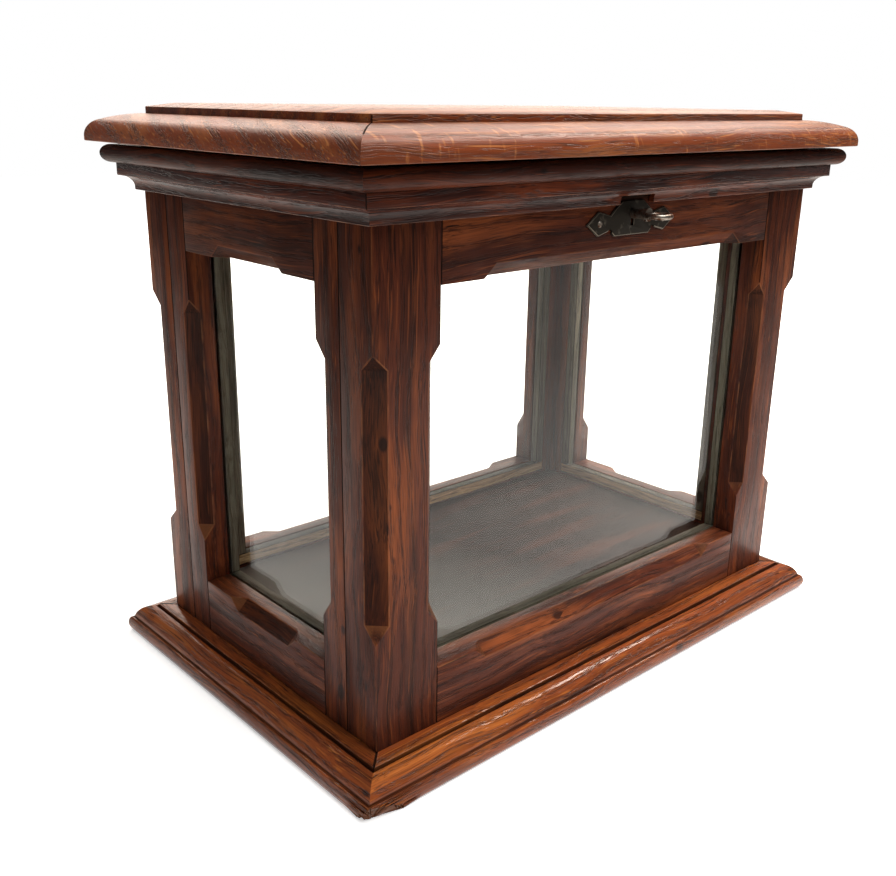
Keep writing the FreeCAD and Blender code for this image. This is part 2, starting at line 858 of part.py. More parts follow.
def make_hinges():
    near, far = size.leaf_gap / 2, size.leaf_gap / 2 + size.leaf_thickness
    end = hinge_half - size.knuckle_length
    outer_knuckles = [(-hinge_half, -end), (end, hinge_half)]
    middle_knuckle = [(-end + size.knuckle_gap, end - size.knuckle_gap)]
    hinge_back = size.frame_depth / 2 + hinge_reach
    pins, carcase_screws, lid_screws = [], [], []
    pattern = make_screw_pattern("hinge_screw", size.leaf_thickness, size.small_screw_length)
    for name, along in hinge_places():
        carcase_leaf = make_leaf(
            f"hinge_carcase_leaf_{name}", (-far, -near), outer_knuckles, -near, POINTING_DOWN
        )
        put(carcase_leaf, along, hinge_back, hinge_height)
        lid_leaf = make_leaf(f"hinge_lid_leaf_{name}", (near, far), middle_knuckle, near, POINTING_UP)
        put(lid_leaf, along, hinge_back, hinge_height)
        pin = document.addObject("Part::Cylinder", "hinge_pin")
        bind(pin, "Radius", size.hinge_pin_radius)
        bind(pin, "Height", size.hinge_length)
        put(pin, along - hinge_half, hinge_back, hinge_height, FreeCAD.Rotation(FreeCAD.Vector(0, 1, 0), 90))
        pins.append(pin)
        screw_y = hinge_back + plate_front + hinge_screw_inward
        for shift in hinge_screws:
            x = along + shift
            carcase_screws.append(make_screw(pattern, x, screw_y, hinge_height - near, POINTING_DOWN))
            lid_screws.append(make_screw(pattern, x, screw_y, hinge_height + near))
    group("hinge_pins", pins)
    group("hinge_screws_carcase", carcase_screws)
    group("hinge_screws_lid", lid_screws)


def hinge_screw_spots(inward):
    return [(along + shift, inward) for name, along in hinge_places() for shift in hinge_screws]


def cut_hinge_seats(body):
    """Lets the carcase leaves into the back top rail, level with the rim's top."""
    slack = size.joint_clearance
    seat = size.frame_height - size.lid_gap
    for name, along in hinge_places():
        cut_block(
            body,
            "hinge_seat",
            (along - hinge_half - slack, along + hinge_half + slack),
            (0, size.leaf_reach + slack),
            (seat, size.frame_height),
        )
    spots = hinge_screw_spots(size.leaf_reach - hinge_screw_inward)
    drill_up(body, "hinge_pilots", spots, pilot_radius, (seat - pilot_depth, seat))


def cut_lid_hinge_seats(body):
    """Lets the lid leaves and the knuckles into the underside of the lid."""
    slack = size.joint_clearance
    outer_edge = size.lid_overhang + size.lid_back_extra
    leaf_depth = hinge_height + size.leaf_gap / 2 + size.leaf_thickness - frame_top
    axis = outer_edge - hinge_reach
    room = size.knuckle_radius + size.housing_clearance
    room_top = hinge_height - frame_top + room
    for name, along in hinge_places():
        ends = (along - hinge_half - slack, along + hinge_half + slack)
        cut_block(body, "leaf_seat", ends, (axis, outer_edge + size.leaf_reach + slack), (0, leaf_depth))
        cut_block(body, "knuckle_room", ends, (axis - room, axis + room), (0, room_top))
    spots = hinge_screw_spots(outer_edge + size.leaf_reach - hinge_screw_inward)
    drill_up(body, "hinge_pilots", spots, pilot_radius, (0, leaf_depth + pilot_depth))


# Screws and nails


def make_screw_pattern(name, head_height, length, head_radius=None, shank_radius=None):
    """A countersunk screw with a slot, its head's face at the origin and its point up."""
    head = document.addObject("Part::Cone", f"{name}_head")
    bind(head, "Radius1", head_radius or size.small_head_radius)
    bind(head, "Radius2", shank_radius or size.small_screw_radius)
    bind(head, "Height", head_height)
    shank = document.addObject("Part::Cylinder", f"{name}_shank")
    bind(shank, "Radius", shank_radius or size.small_screw_radius)
    bind(shank, "Height", as_size(length))
    put(shank, 0, 0, head_height)
    blank = document.addObject("Part::Fuse", f"{name}_blank")
    blank.Base, blank.Tool = head, shank
    slot = document.addObject("Part::Box", f"{name}_slot")
    across = head_radius or size.small_head_radius
    bind(slot, "Length", across * 2)
    bind(slot, "Width", size.slot_width)
    bind(slot, "Height", size.slot_depth)
    put(slot, -across, -size.slot_width / 2, 0)
    return blank, slot


def make_screw(pattern, x, y, z, rotation=POINTING_UP):
    screw = document.addObject("Part::Cut", "screw")
    screw.Base, screw.Tool = pattern
    put(screw, x, y, z, rotation)
    return screw


def make_base_screws():
    pattern = make_screw_pattern(
        "base_screw",
        size.base_head_height,
        size.base_height - size.base_screw_sink + size.base_screw_grip,
        size.base_head_radius,
        size.base_screw_radius,
    )
    screws = []
    for side in CARCASE_SIDES:
        for along, inward in base_screw_spots(side):
            x, y = spot(side, along, inward)
            screws.append(make_screw(pattern, x, y, size.base_screw_sink - size.base_head_height))
    group("base_screws", screws)


# Lock, in the front frame's own place: x along it, y inward from its face, z up from its foot

lock_back = size.frame_thickness
case_back = lock_back - size.lock_plate_thickness
case_front = case_back - size.lock_case_depth
cap_front = case_front - size.lock_cap_thickness
plate_half = size.lock_plate_width / 2
plate_foot = opening_top + size.rebate_width + size.lock_plate_margin
case_half = size.lock_case_width / 2
case_foot = plate_foot + size.lock_case_lift
case_top = size.frame_height - size.selvedge_thickness
lock_screw_spots = [
    ((plate_half - size.lock_screw_inset) * hand, height)
    for hand in BOTH
    for height in (plate_foot + size.lock_screw_inset, size.frame_height - size.lock_screw_inset * 2)
]


def cut_keyhole(body, y):
    """A round hole for the key's stem with a slot below it for the bit."""
    stem = size.key_radius + size.key_clearance
    slot = size.bit_thickness / 2 + size.keyhole_play
    drill_back(body, "keyhole", [(0, key_height)], stem, y)
    cut_block(
        body, "keyhole_slot", (-slot, slot), y, (key_height - size.bit_radius - size.keyhole_play, key_height)
    )


def cut_lock_seat(body):
    """Lets the lock into the back of the front top rail, with the keyhole and nail holes through its face."""
    slack = size.joint_clearance
    top = size.frame_height
    plate_x = (-plate_half - slack, plate_half + slack)
    case_x = (-case_half - slack, case_half + slack)
    selvedge_y = (lock_back - size.selvedge_depth - slack, lock_back)
    cut_block(body, "plate_seat", plate_x, (case_back, lock_back), (plate_foot - slack, top))
    cut_block(body, "case_seat", case_x, (cap_front, case_back), (case_foot - slack, top))
    cut_block(body, "selvedge_seat", plate_x, selvedge_y, (case_top, top))
    cut_keyhole(body, (0, cap_front))
    drill_back(body, "lock_pilots", lock_screw_spots, pilot_radius, (case_back - pilot_depth, case_back))
    nail_depth = size.nail_length - size.escutcheon_thickness
    drill_back(body, "nail_pilots", nail_spots(), size.nail_radius + size.screw_clearance, (0, nail_depth))


def make_lock_case():
    """A back plate and selvedge with a shallow box, open toward the cap."""
    body = new_body("lock_case")
    top = size.frame_height
    inside = case_half - size.lock_wall
    selvedge_y = (lock_back - size.selvedge_depth, case_back)
    box_y = (case_front, case_back)
    add_block(body, "plate", (-plate_half, plate_half), (case_back, lock_back), (plate_foot, top))
    add_block(body, "selvedge", (-plate_half, plate_half), selvedge_y, (case_top, top))
    add_block(body, "box", (-case_half, case_half), box_y, (case_foot, case_top))
    cut_block(body, "inside", (-inside, inside), box_y, (case_foot + size.lock_wall, case_top))
    seat_top = key_height + size.bolt_lift - size.bolt_clearance
    seat_half = size.bolt_seat_width / 2
    bolt_front = bolt_middle - size.bolt_thickness / 2
    for hand in BOTH:
        middle = size.bolt_seat_place * hand
        add_block(
            body,
            "bolt_seat",
            (middle - seat_half, middle + seat_half),
            (bolt_front, case_back),
            (seat_top - size.bolt_seat_height, seat_top),
        )
        link = size.link_place * hand
        slot_half = size.link_thickness / 2 + size.link_play
        cut_block(body, "link_slot", (link - slot_half, link + slot_half), box_y, (case_top, top))
    pin = new_sketch(body, "drill_pin_outline", "XZ_Plane", (0, 0, -case_back))
    draw_circle(pin, 0, key_height, size.drill_pin_radius)
    pad(body, "drill_pin", pin, size.key_bore_depth)
    countersink(body, lock_screw_spots, "XZ_Plane", -lock_back, size.lock_plate_thickness)
    place(body, FRONT, size.base_height)


def make_lock_cap():
    body = new_body("lock_cap")
    add_block(body, "cap", (-case_half, case_half), (cap_front, case_front), (case_foot, case_top))
    cut_keyhole(body, (cap_front, case_front))
    place(body, FRONT, size.base_height)


def make_lock_bolt():
    """A bar with a talon notch for the key's bit and two fingers for the links' eyes."""
    body = new_body("lock_bolt")
    half = size.bolt_thickness / 2
    depth = (bolt_middle - half, bolt_middle + half)
    bottom = key_height + size.bolt_lift
    top = bottom + size.bolt_height
    eye = size.frame_height - size.link_eye_drop
    finger = (eye - size.finger_height / 2, eye + size.finger_height / 2)
    add_block(body, "bar", (-size.bolt_left, size.bolt_right), depth, (bottom, top))
    for hand in BOTH:
        link_face = size.link_place * hand - size.link_thickness / 2
        tip = link_face - size.link_stand_off
        riser_face = link_face - size.bolt_throw - size.link_play
        add_block(body, "riser", (riser_face - size.riser_width, riser_face), depth, (top, finger[1]))
        add_block(body, "finger", (riser_face, tip), depth, finger)
    notch = (-size.talon_start, size.talon_width - size.talon_start)
    notch_top = key_height + size.bit_radius + size.keyhole_play * 2
    cut_block(body, "talon", notch, depth, (bottom, notch_top))
    place(body, FRONT, size.base_height)


def make_lock_screws():
    pattern = make_screw_pattern("lock_screw", size.lock_plate_thickness, size.small_screw_length)
    screws = []
    for along, up in lock_screw_spots:
        x, y = spot(FRONT, along, lock_back)
        screws.append(make_screw(pattern, x, y, size.base_height + up, POINTING_FRONT))
    group("lock_screws", screws)


# Link plate, in the same place as the lock

link_plate_limits = (bolt_middle - size.link_plate_depth / 2, bolt_middle + size.link_plate_depth / 2)
link_screw_length = size.panel_seat - size.link_plate_thickness * 2
link_screw_spots = [(size.link_screw_place * hand, bolt_middle) for hand in BOTH]


def make_link_plate():
    """A plate let into the lid's underside with two links that drop into the lock."""
    body = new_body("link_plate")
    half = size.link_plate_width / 2
    top = size.frame_height
    add_block(body, "plate", (-half, half), link_plate_limits, (top, top + size.link_plate_thickness))
    eye = top - size.link_eye_drop
    eye_half = size.finger_height / 2 + size.link_play
    eye_depth = size.bolt_thickness / 2 + size.link_play
    link_y = (bolt_middle - size.link_width / 2, bolt_middle + size.link_width / 2)
    eye_y = (bolt_middle - eye_depth, bolt_middle + eye_depth)
    half_link = size.link_thickness / 2
    for hand in BOTH:
        middle = size.link_place * hand
        x = (middle - half_link, middle + half_link)
        add_block(body, "link", x, link_y, (top - size.link_length, top))
        cut_block(body, "eye", x, eye_y, (eye - eye_half, eye + eye_half))
    countersink(body, link_screw_spots, "XY_Plane", top, size.link_plate_thickness)
    place(body, FRONT, size.base_height)


def make_link_plate_screws():
    pattern = make_screw_pattern("link_screw", size.link_plate_thickness, link_screw_length)
    screws = []
    for along, inward in link_screw_spots:
        x, y = spot(FRONT, along, inward)
        screws.append(make_screw(pattern, x, y, frame_top))
    group("link_plate_screws", screws)


def cut_link_seat(body):
    """Lets the link plate into the underside of the lid's front member."""
    slack = size.joint_clearance
    half = size.link_plate_width / 2 + slack
    edge = size.lid_overhang
    limits = (link_plate_limits[0] + edge - slack, link_plate_limits[1] + edge + slack)
    cut_block(body, "link_seat", (-half, half), limits, (0, size.link_plate_thickness))
    spots = [(along, inward + edge) for along, inward in link_screw_spots]
    depth = size.link_plate_thickness + link_screw_length + size.screw_clearance
    drill_up(body, "link_pilots", spots, pilot_radius, (0, depth))


# Escutcheon and key


def nail_spots():
    return [(size.nail_place * hand, key_height - size.lobe_drop) for hand in BOTH]


def make_escutcheon():
    """A pierced plate with a pointed lobe at each end and a crest in the middle."""
    body = new_body("escutcheon")
    lobe = -size.lobe_drop
    half_outline = [
        (size.escutcheon_half_body, -size.escutcheon_drop),
        (size.neck_place, lobe - size.neck_half_height),
        (size.lobe_place, lobe - size.lobe_half_height),
        (size.escutcheon_half_length, lobe),
        (size.lobe_place, lobe + size.lobe_half_height),
        (size.neck_place, lobe + size.neck_half_height),
        (size.escutcheon_half_body, size.escutcheon_shoulder),
        (size.crest_half_width, size.crest_height),
    ]
    right = [(x, key_height + z) for x, z in half_outline]
    left = [(-x, z) for x, z in reversed(right)]
    sketch = new_sketch(body, "outline", "XZ_Plane")
    draw_outline(sketch, right + left)
    plate = pad(body, "plate", sketch, size.escutcheon_thickness)
    document.recompute()
    front = max(range(len(plate.Shape.Faces)), key=lambda i: -plate.Shape.Faces[i].CenterOfMass.y)
    bevel = body.newObject("PartDesign::Chamfer", "bevel")
    bevel.Base = (plate, [f"Face{front + 1}"])
    bind(bevel, "Size", size.escutcheon_bevel)
    depth = (-size.escutcheon_thickness, 0)
    cut_keyhole(body, depth)
    notch_height = key_height - size.lobe_drop - size.neck_half_height - size.neck_hole_radius / 2
    notch_spots = [(size.neck_place * hand, notch_height) for hand in BOTH]
    drill_back(body, "neck_notches", notch_spots, size.neck_hole_radius, depth)
    drill_back(body, "nail_holes", nail_spots(), size.nail_radius + size.screw_clearance, depth)
    place(body, FRONT, size.base_height)


def make_nails():
    nails = []
    head = document.addObject("Part::Cone", "nail_head")
    bind(head, "Radius1", size.nail_head_radius / 2)
    bind(head, "Radius2", size.nail_head_radius)
    bind(head, "Height", size.nail_head_height)
    shank = document.addObject("Part::Cylinder", "nail_shank")
    bind(shank, "Radius", size.nail_radius)
    bind(shank, "Height", size.nail_length)
    put(shank, 0, 0, size.nail_head_height)
    for along, up in nail_spots():
        nail = document.addObject("Part::Fuse", "nail")
        nail.Base, nail.Tool = head, shank
        x, y = spot(FRONT, along, -size.escutcheon_thickness - size.nail_head_height)
        put(nail, x, y, size.base_height + up, POINTING_BACK)
        nails.append(nail)
    group("escutcheon_nails", nails)


def make_key():
    """A pipe key, its bow and bit level, the end of its stem over the lock's drill pin."""
    stem_end = case_back - size.key_end_gap
    stem = document.addObject("Part::Cylinder", "key_stem")
    bind(stem, "Radius", size.key_radius)
    bind(stem, "Height", stem_end + size.key_reach)
    put(stem, 0, -size.key_reach, key_height, POINTING_BACK)
    collar = document.addObject("Part::Cylinder", "key_collar")
    bind(collar, "Radius", size.key_collar_radius)
    bind(collar, "Height", size.key_collar_length)
    put(collar, 0, -size.key_reach, key_height, POINTING_BACK)
    bow = document.addObject("Part::Torus", "key_bow")
    bind(bow, "Radius1", size.bow_radius)
    bind(bow, "Radius2", size.bow_wire_radius)
    put(bow, 0, -size.key_reach - size.bow_radius, key_height)
    bit = document.addObject("Part::Box", "key_bit")
    bind(bit, "Length", size.bit_radius)
    bind(bit, "Width", size.bit_width)
    bind(bit, "Height", size.bit_thickness)
    put(bit, -size.bit_radius, bolt_middle - size.bit_width / 2, key_height - size.bit_thickness / 2)
    blank = document.addObject("Part::MultiFuse", "key_blank")
    blank.Shapes = [stem, collar, bow, bit]
    bore = document.addObject("Part::Cylinder", "key_bore")
    bind(bore, "Radius", size.drill_pin_radius + size.key_clearance)
    bind(bore, "Height", size.key_bore_depth)
    put(bore, 0, stem_end - size.key_bore_depth, key_height, POINTING_BACK)
    key = keep(document.addObject("Part::Cut", "key"), "key")
    key.Base, key.Tool = blank, bore
    place(key, FRONT, size.base_height)


def check_model():
    """Stops if any object failed, a sub-part is empty or broken, or a cut removed nothing."""
    for thing in document.Objects:
        if {"Invalid", "Error"} & set(thing.State):
            raise RuntimeError(f"{thing.Label} failed: {thing.State}")
        if thing.TypeId in ("PartDesign::Pocket", "PartDesign::SubtractiveCone"):
            if thing.Shape.Volume >= thing.BaseFeature.Shape.Volume:
                raise RuntimeError(f"{thing.Label} cuts nothing")
    for node in nodes:
        if node.Shape.isNull() or not node.Shape.isValid() or not node.Shape.Solids:
            raise RuntimeError(f"{node.Label} has no sound solid")


def write_parts():
    os.makedirs("parts", exist_ok=True)
    for node in nodes:
        node.Shape.exportStep(f"parts/{node.Label}.step")


def main():
    for side in CARCASE_SIDES:
        for hand in BOTH:
            make_stile(side, hand)
        make_top_rail(side)
        make_bottom_rail(side)
        make_glazing(side)
        make_base(side)
        make_cornice(side)
        make_moulding(side, "rim", draw_rim_profile, size.rim_projection, as_size(0), rim_bottom)
    make_base_screws()
    make_floor()
    for side in LID_SIDES:
        make_lid_member(side)
    make_lid_panel()
    make_hinges()
    make_lock_case()
    make_lock_cap()
    make_lock_bolt()
    make_lock_screws()
    make_link_plate()
    make_link_plate_screws()
    make_escutcheon()
    make_nails()
    make_key()
    document.recompute()
    check_model()
    write_parts()
    print(len(nodes), "nodes,", sum(len(node.Shape.Solids) for node in nodes), "solids")


main()
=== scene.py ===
"""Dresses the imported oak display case: worn oak, old glass, a lock plate with its key, and a pale stage."""

import json
import math

import bmesh
import bpy
from mathutils import Matrix, Vector


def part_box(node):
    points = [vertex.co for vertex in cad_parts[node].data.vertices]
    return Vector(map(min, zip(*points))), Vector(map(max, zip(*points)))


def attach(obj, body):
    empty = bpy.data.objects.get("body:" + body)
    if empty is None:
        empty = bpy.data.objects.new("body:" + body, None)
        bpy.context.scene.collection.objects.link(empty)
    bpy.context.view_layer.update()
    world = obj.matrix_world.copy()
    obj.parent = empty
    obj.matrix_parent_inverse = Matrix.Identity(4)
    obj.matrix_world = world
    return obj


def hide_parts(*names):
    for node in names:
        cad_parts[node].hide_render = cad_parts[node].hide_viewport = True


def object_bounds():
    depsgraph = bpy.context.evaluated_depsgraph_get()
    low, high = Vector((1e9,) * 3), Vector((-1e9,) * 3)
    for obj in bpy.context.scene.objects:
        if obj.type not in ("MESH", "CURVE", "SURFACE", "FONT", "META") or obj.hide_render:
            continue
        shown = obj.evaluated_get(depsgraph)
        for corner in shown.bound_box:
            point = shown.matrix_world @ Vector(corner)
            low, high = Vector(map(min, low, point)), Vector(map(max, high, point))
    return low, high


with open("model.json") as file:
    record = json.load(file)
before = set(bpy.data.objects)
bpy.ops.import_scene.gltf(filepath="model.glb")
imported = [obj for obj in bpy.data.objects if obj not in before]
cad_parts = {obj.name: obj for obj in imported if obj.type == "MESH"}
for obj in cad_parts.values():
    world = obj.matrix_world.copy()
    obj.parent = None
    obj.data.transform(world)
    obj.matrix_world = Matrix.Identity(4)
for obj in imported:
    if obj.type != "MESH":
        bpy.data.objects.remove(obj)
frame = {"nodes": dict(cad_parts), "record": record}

bl_info = {
    "name": "Oak display case",
    "version": (1, 0, 0),
    "blender": (4, 5, 0),
    "location": "3D View > Sidebar > Display Case",
    "description": "Dresses the packed display case with worn oak, old glass, iron, brass and a pale stage",
    "category": "Object",
}

CAD_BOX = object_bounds()
NODE_SLOT = {part["node"]: part["material_slot"] for part in frame["record"]["subparts"]}
BODIES = frame["record"]["behaviour"]["bodies"]
NODE_BODY = {node: body for body, members in BODIES.items() for node in members}
WOOD_SLOTS = ("oak_frame", "oak_moulding", "oak_base", "oak_lid")
WOOD_BOXES = {node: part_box(node) for node, slot in NODE_SLOT.items() if slot in WOOD_SLOTS}

SIDES = ("front", "back", "left", "right")
PANE_STRIPS = 4
PHOTO_WIDTH = 896
MM = 0.001


def linear(hex_colour):
    """A colour written as sRGB hex, as linear red, green and blue."""
    shades = [int(hex_colour[i:i + 2], 16) / 255 for i in (1, 3, 5)]
    return tuple(s / 12.92 if s <= 0.04045 else ((s + 0.055) / 1.055) ** 2.4 for s in shades)


def rgba(colour):
    return (*colour, 1.0)


BLACK = rgba(linear("#000000"))
WHITE = rgba(linear("#ffffff"))
# Near black, for the dark wax in joints and for painted shade
WAX_AND_SHADE_BLACK = rgba(linear("#0d0a07"))

# Merging a CAD copy: corners closer than this are one, and faces within this angle lie in one plane
WELD = 0.005 * MM
FLAT_ANGLE = math.radians(0.6)
# Outward edges sharper and longer than these are eased, in so many steps
EDGE_ANGLE = math.radians(24)
EDGE_LENGTH = 3 * MM
EDGE_STEPS = 2
# Faces that meet at less than this angle are shaded as one curve
SMOOTH_ANGLE = math.radians(32)
# An eased edge nearer than this to another wooden piece lies in a joint
SEAM = 0.6 * MM
# A face looks squarely along an axis if its normal has more than this of it
SQUARE_ON = 0.9
# The stops of the chamfers slope by more than this and are smaller than this
STOP_SLOPE = 0.3
STOP_AREA = 200 * MM * MM
# A chamfer whose normal has less than this along X looks to the left, away from the window
LEFTWARD = -0.5

# Shares of darkening, of which a joint's dark wax holds 1: painted shade in quirks up to this width, on the
# stops that look down and on the lowest beads' tops, painted shade on the chamfers that look to the left, and
# a lesser share on the stops that look up and on torn wood
QUIRK_WIDTH = 4 * MM
DEEP_PAINTED_SHADE = 0.75
LEFT_CHAMFER_SHADE = 0.6
STOP_AND_TORN_DARKENING = 0.35
# Boards darkened as so much dark wax would: on the rims it is painted shade under the lid, and the other
# listed boards are darker than the rest
BOARD_DARKENING = {
    "left_top_rail": 0.3,
    "right_top_rail": 0.2,
    "front_stile_left": 0.12,
    "base_member_left": 0.15,
    **{f"rim_{side}": 0.45 for side in SIDES},
}
# Wear, of which an eased edge has 1 in patches: stops that look up have more, as a painted highlight, and
# torn wood is all bare
STOP_HIGHLIGHT = 1.2
TORN_WEAR = 2.0

# A cut takes corners that are nearer than this to lie in its plane
CUT_SLACK = 0.1 * MM
# The break at the base's corner changes the board no further than this many times its reach
CHIP_MARGIN = 1.2
# Torn faces are cut so many times, then moved, by these shares evenly and outward
TORN_CUTS = 3
TORN_EVENLY = 0.4
TORN_OUTWARD = 0.6
TORN_SEED = 3

# Length and width of the marks in oak. Real pores are about 0.3 mm wide, and are drawn wider to show
FIBRES = (45 * MM, 0.9 * MM)
PALE_FIBRES = (60 * MM, 1.4 * MM)
PORES = (14 * MM, 0.7 * MM)
SHAKES = (130 * MM, 1.6 * MM)
RAY_FLECKS = (5 * MM, 16 * MM)
RUDDY_PATCHES = (110 * MM, 16 * MM)
DENTS = (26 * MM, 15 * MM)
# Dark bands are so long, and as wide as so many rings
BAND_LENGTH = 300 * MM
BAND_RINGS = 2.2
# Growth rings lie askew across and through the board, so that both of its faces cut them
RING_TILT = (0.0, 0.8, 0.6)
# Grain lines sway by a few millimetres over the length of a hand
SWAY = 14 * MM
SWAY_LENGTH = 90 * MM
# Size of the patches that are rubbed or rough
RUBBED_PATCH = 14 * MM
PORE_DEPTH = 0.3 * MM
# From board to board the grain moves on so far along, across and through the wood, in metres
BOARD_SHIFT = Vector((0.37, 0.113, 0.071))
# The lid's left board was cut askew, so its pores run down over the moulding's nose
LID_SLANTS = {"left": Matrix.Rotation(math.radians(-25), 3, Vector((-1, 0, 1)))}

# Painted shade darkens the frames so far down from the cornice, at most by this share
CORNICE_SHADE_REACH = 110 * MM
CORNICE_SHADE = 0.45
# Behind the cornice, where only its notch lets the eye in, painted shade is full at this height above its
# foot
NOTCH_SHADE_REACH = 4 * MM
# Dust on the case's floor, partly a painted reflection veil, thickens from the middle to this side over this
# distance, up to this share
DUST_AND_VEIL_SIDE = Vector((-2, -1, 0)).normalized()
DUST_AND_VEIL_REACH = 130 * MM
DUST_AND_VEIL_SHARE = 0.55

# Old wax and dusty glass mirror less than their real indices, about 1.45 and 1.52, would give
WAX_IOR = 1.3
GLASS_IOR = 1.24
# Under the wax, wood mirrors next to nothing
WOOD_SPECULAR = 0.05

# Old metal: size of the film's blotches, and size and depth of the pits
BLOTCH = 6 * MM
PIT = 1.2 * MM
PIT_DEPTH = 0.12 * MM
# Film starts where the blotches' noise passes the first of these, less cover times the second, is full where
# the noise passes that by the third, and adds the last to the metal's roughness
FILM_START = 0.62
FILM_SPREAD = 0.4
FILM_EDGE = 0.2
FILM_ROUGHNESS = 0.25

# Drawn glass: length and depth of its waves, size of the specks of dust, and how much they darken it
WAVE = 60 * MM
WAVE_DEPTH = 0.5 * MM
SPECK = 9 * MM
SPECK_SHADE = 0.06

# Stage, in metres: where the lights hang and how wide they are
WINDOW_PLACE = (1.2, 1.6, 1.5)
WINDOW_WIDTH = 2.6
CEILING_PLACE = (0.0, -0.9, 2.1)
CEILING_WIDTH = 1.4
SIDE_PLACE = (1.43, -0.1, 1.78)
SIDE_WIDTH = 0.6
# The floor's paper: size of its mottling, its thickness, and how far it lies below the case
MOTTLE = 80 * MM
FLOOR_THICKNESS = 20 * MM
FLOOR_DROP = 0.2 * MM
# To the eye it glows, by the least up to the first distance and white from the second on. Where the case
# mirrors it, its sheen fades from the first distance to the last
GLOW_LEAST = 0.5
GLOW_START = 0.3
GLOW_FULL = 1.2
SHEEN_END = 1.0
# On this side the room is dim: between these distances the mirrored floor loses up to this share of its white
DIM_SIDE = Vector((1, -1, 0)).normalized()
DIM_START = 0.4
DIM_FULL = 1.0
DIM_SHARE = 0.5
NEAREST_SEEN = 10 * MM

# Slot of the faces that a bevel adds
EASED_SLOT = 1
# Sockets of a Mix node set to colours
MIX_A, MIX_B, MIX_RESULT = 6, 7, 2


def colour_property(name, text, hex_colour):
    return bpy.props.FloatVectorProperty(
        name=name, description=text, subtype="COLOR", min=0.0, max=1.0, default=linear(hex_colour)
    )


def length_property(name, text, millimetres):
    return bpy.props.FloatProperty(
        name=name, description=text, unit="LENGTH", min=0.0, default=millimetres * MM
    )


def reach_property(name, text, millimetres):
    return bpy.props.FloatVectorProperty(
        name=name, description=text, unit="LENGTH", min=0.0, default=[size * MM for size in millimetres]
    )


class OakColours(bpy.types.PropertyGroup):
    """Colours of the stained oak, from the darkest pores to the bare wood of a rubbed edge"""

    frame_dark: colour_property("Frame dark", "Pores and dark bands of the frames", "#1c0c08")
    frame_body: colour_property("Frame body", "Main colour of the frames", "#582817")
    frame_light: colour_property("Frame light", "Reddish patches of the frames", "#9a5129")
    moulding_dark: colour_property("Moulding dark", "Pores and dark bands of the cornice and rim", "#150807")
    moulding_body: colour_property("Moulding body", "Main colour of the cornice and rim", "#3f190e")
    moulding_light: colour_property("Moulding light", "Reddish patches of the cornice and rim", "#7a381b")
    base_dark: colour_property("Base dark", "Pores and dark bands of the base", "#241008")
    base_body: colour_property("Base body", "Main colour of the base", "#8a431d")
    base_light: colour_property("Base light", "Golden patches of the base", "#c8742f")
    lid_dark: colour_property("Lid dark", "Pores and dark bands of the lid", "#46200d")
    lid_body: colour_property("Lid body", "Main colour of the lid", "#76320b")
    lid_light: colour_property("Lid light", "Palest patches and ray figure of the lid", "#c98143")
    floor_dark: colour_property("Floor dark", "Dark patches of the case's floor", "#1a1512")
    floor_body: colour_property("Floor body", "Main colour of the case's floor", "#221a17")
    floor_light: colour_property("Floor light", "Reddish patches of the case's floor", "#523024")
    floor_dust_and_veil: colour_property("Floor dust", "Dust on the case's floor", "#8f8b85")
    bead_dark: colour_property("Bead dark", "Dark streaks of the glazing beads", "#423e35")
    bead_body: colour_property("Bead body", "Main colour of the glazing beads", "#7a7464")
    bead_light: colour_property("Bead light", "Palest streaks of the glazing beads", "#9c927f")
    bare_dark: colour_property("Bare bead dark", "Dark streaks of the beads' bare faces", "#5d4a33")
    bare_body: colour_property("Bare bead body", "Main colour of the beads' bare faces", "#cfa678")
    bare_light: colour_property("Bare bead light", "Palest streaks of the beads' bare faces", "#dcbd92")
    bare: colour_property("Bare oak", "Wood that shows where the stain is rubbed off", "#8a5532")


class FittingColours(bpy.types.PropertyGroup):
    """Colours of the metal fittings and the glass"""

    plate: colour_property("Lock plate", "Tarnished metal of the escutcheon", "#2a2621")
    plate_edge: colour_property("Lock plate edge", "Metal rubbed bright along the plate's edges", "#665f54")
    key: colour_property("Key", "Handled steel of the key", "#8a8278")
    key_rust: colour_property("Key rust", "Brown film on the key", "#4a2d1c")
    iron: colour_property("Lock iron", "Iron of the lock", "#4a4640")
    iron_rust: colour_property("Lock rust", "Brown film on the iron", "#3a251a")
    brass: colour_property("Hinge brass", "Clean brass of the hinges", "#a98a4c")
    brass_dull: colour_property("Hinge tarnish", "Tarnish on the brass", "#5b4526")
    glass: colour_property("Glass", "Tint of the old glass", "#fcfefd")


class CaseSizes(bpy.types.PropertyGroup):
    """Sizes of the wear that the solids leave out"""

    frame_arris: length_property("Frame edges", "How far the edges of the frames are rounded", 0.5)
    moulding_arris: length_property("Moulding edges", "How far the mouldings' edges are rounded", 0.4)
    base_arris: length_property("Base edges", "How far the edges of the base are rounded", 0.6)
    lid_arris: length_property("Lid edges", "How far the edges of the lid are rounded", 0.5)
    bead_width: length_property("Bead width", "Width of the strips round each pane", 8)
    bead_arris: length_property("Bead edges", "How far the edges of the beads are rounded", 0.4)
    plate_arris: length_property("Lock plate edges", "How far the edges of the lock plate are rounded", 0.2)
    chip_corner: reach_property("Broken corner", "Reach of the broken corner along, back and up", (14, 14, 4))
    chip_front: reach_property("Front splinter", "Reach of the splinter torn off the front", (32, 8, 16))
    chip_left: reach_property("Left splinter", "Reach of the splinter torn off the left side", (5, 18, 9))
    chip_roughness: length_property("Chip roughness", "Unevenness of the broken wood", 0.7)


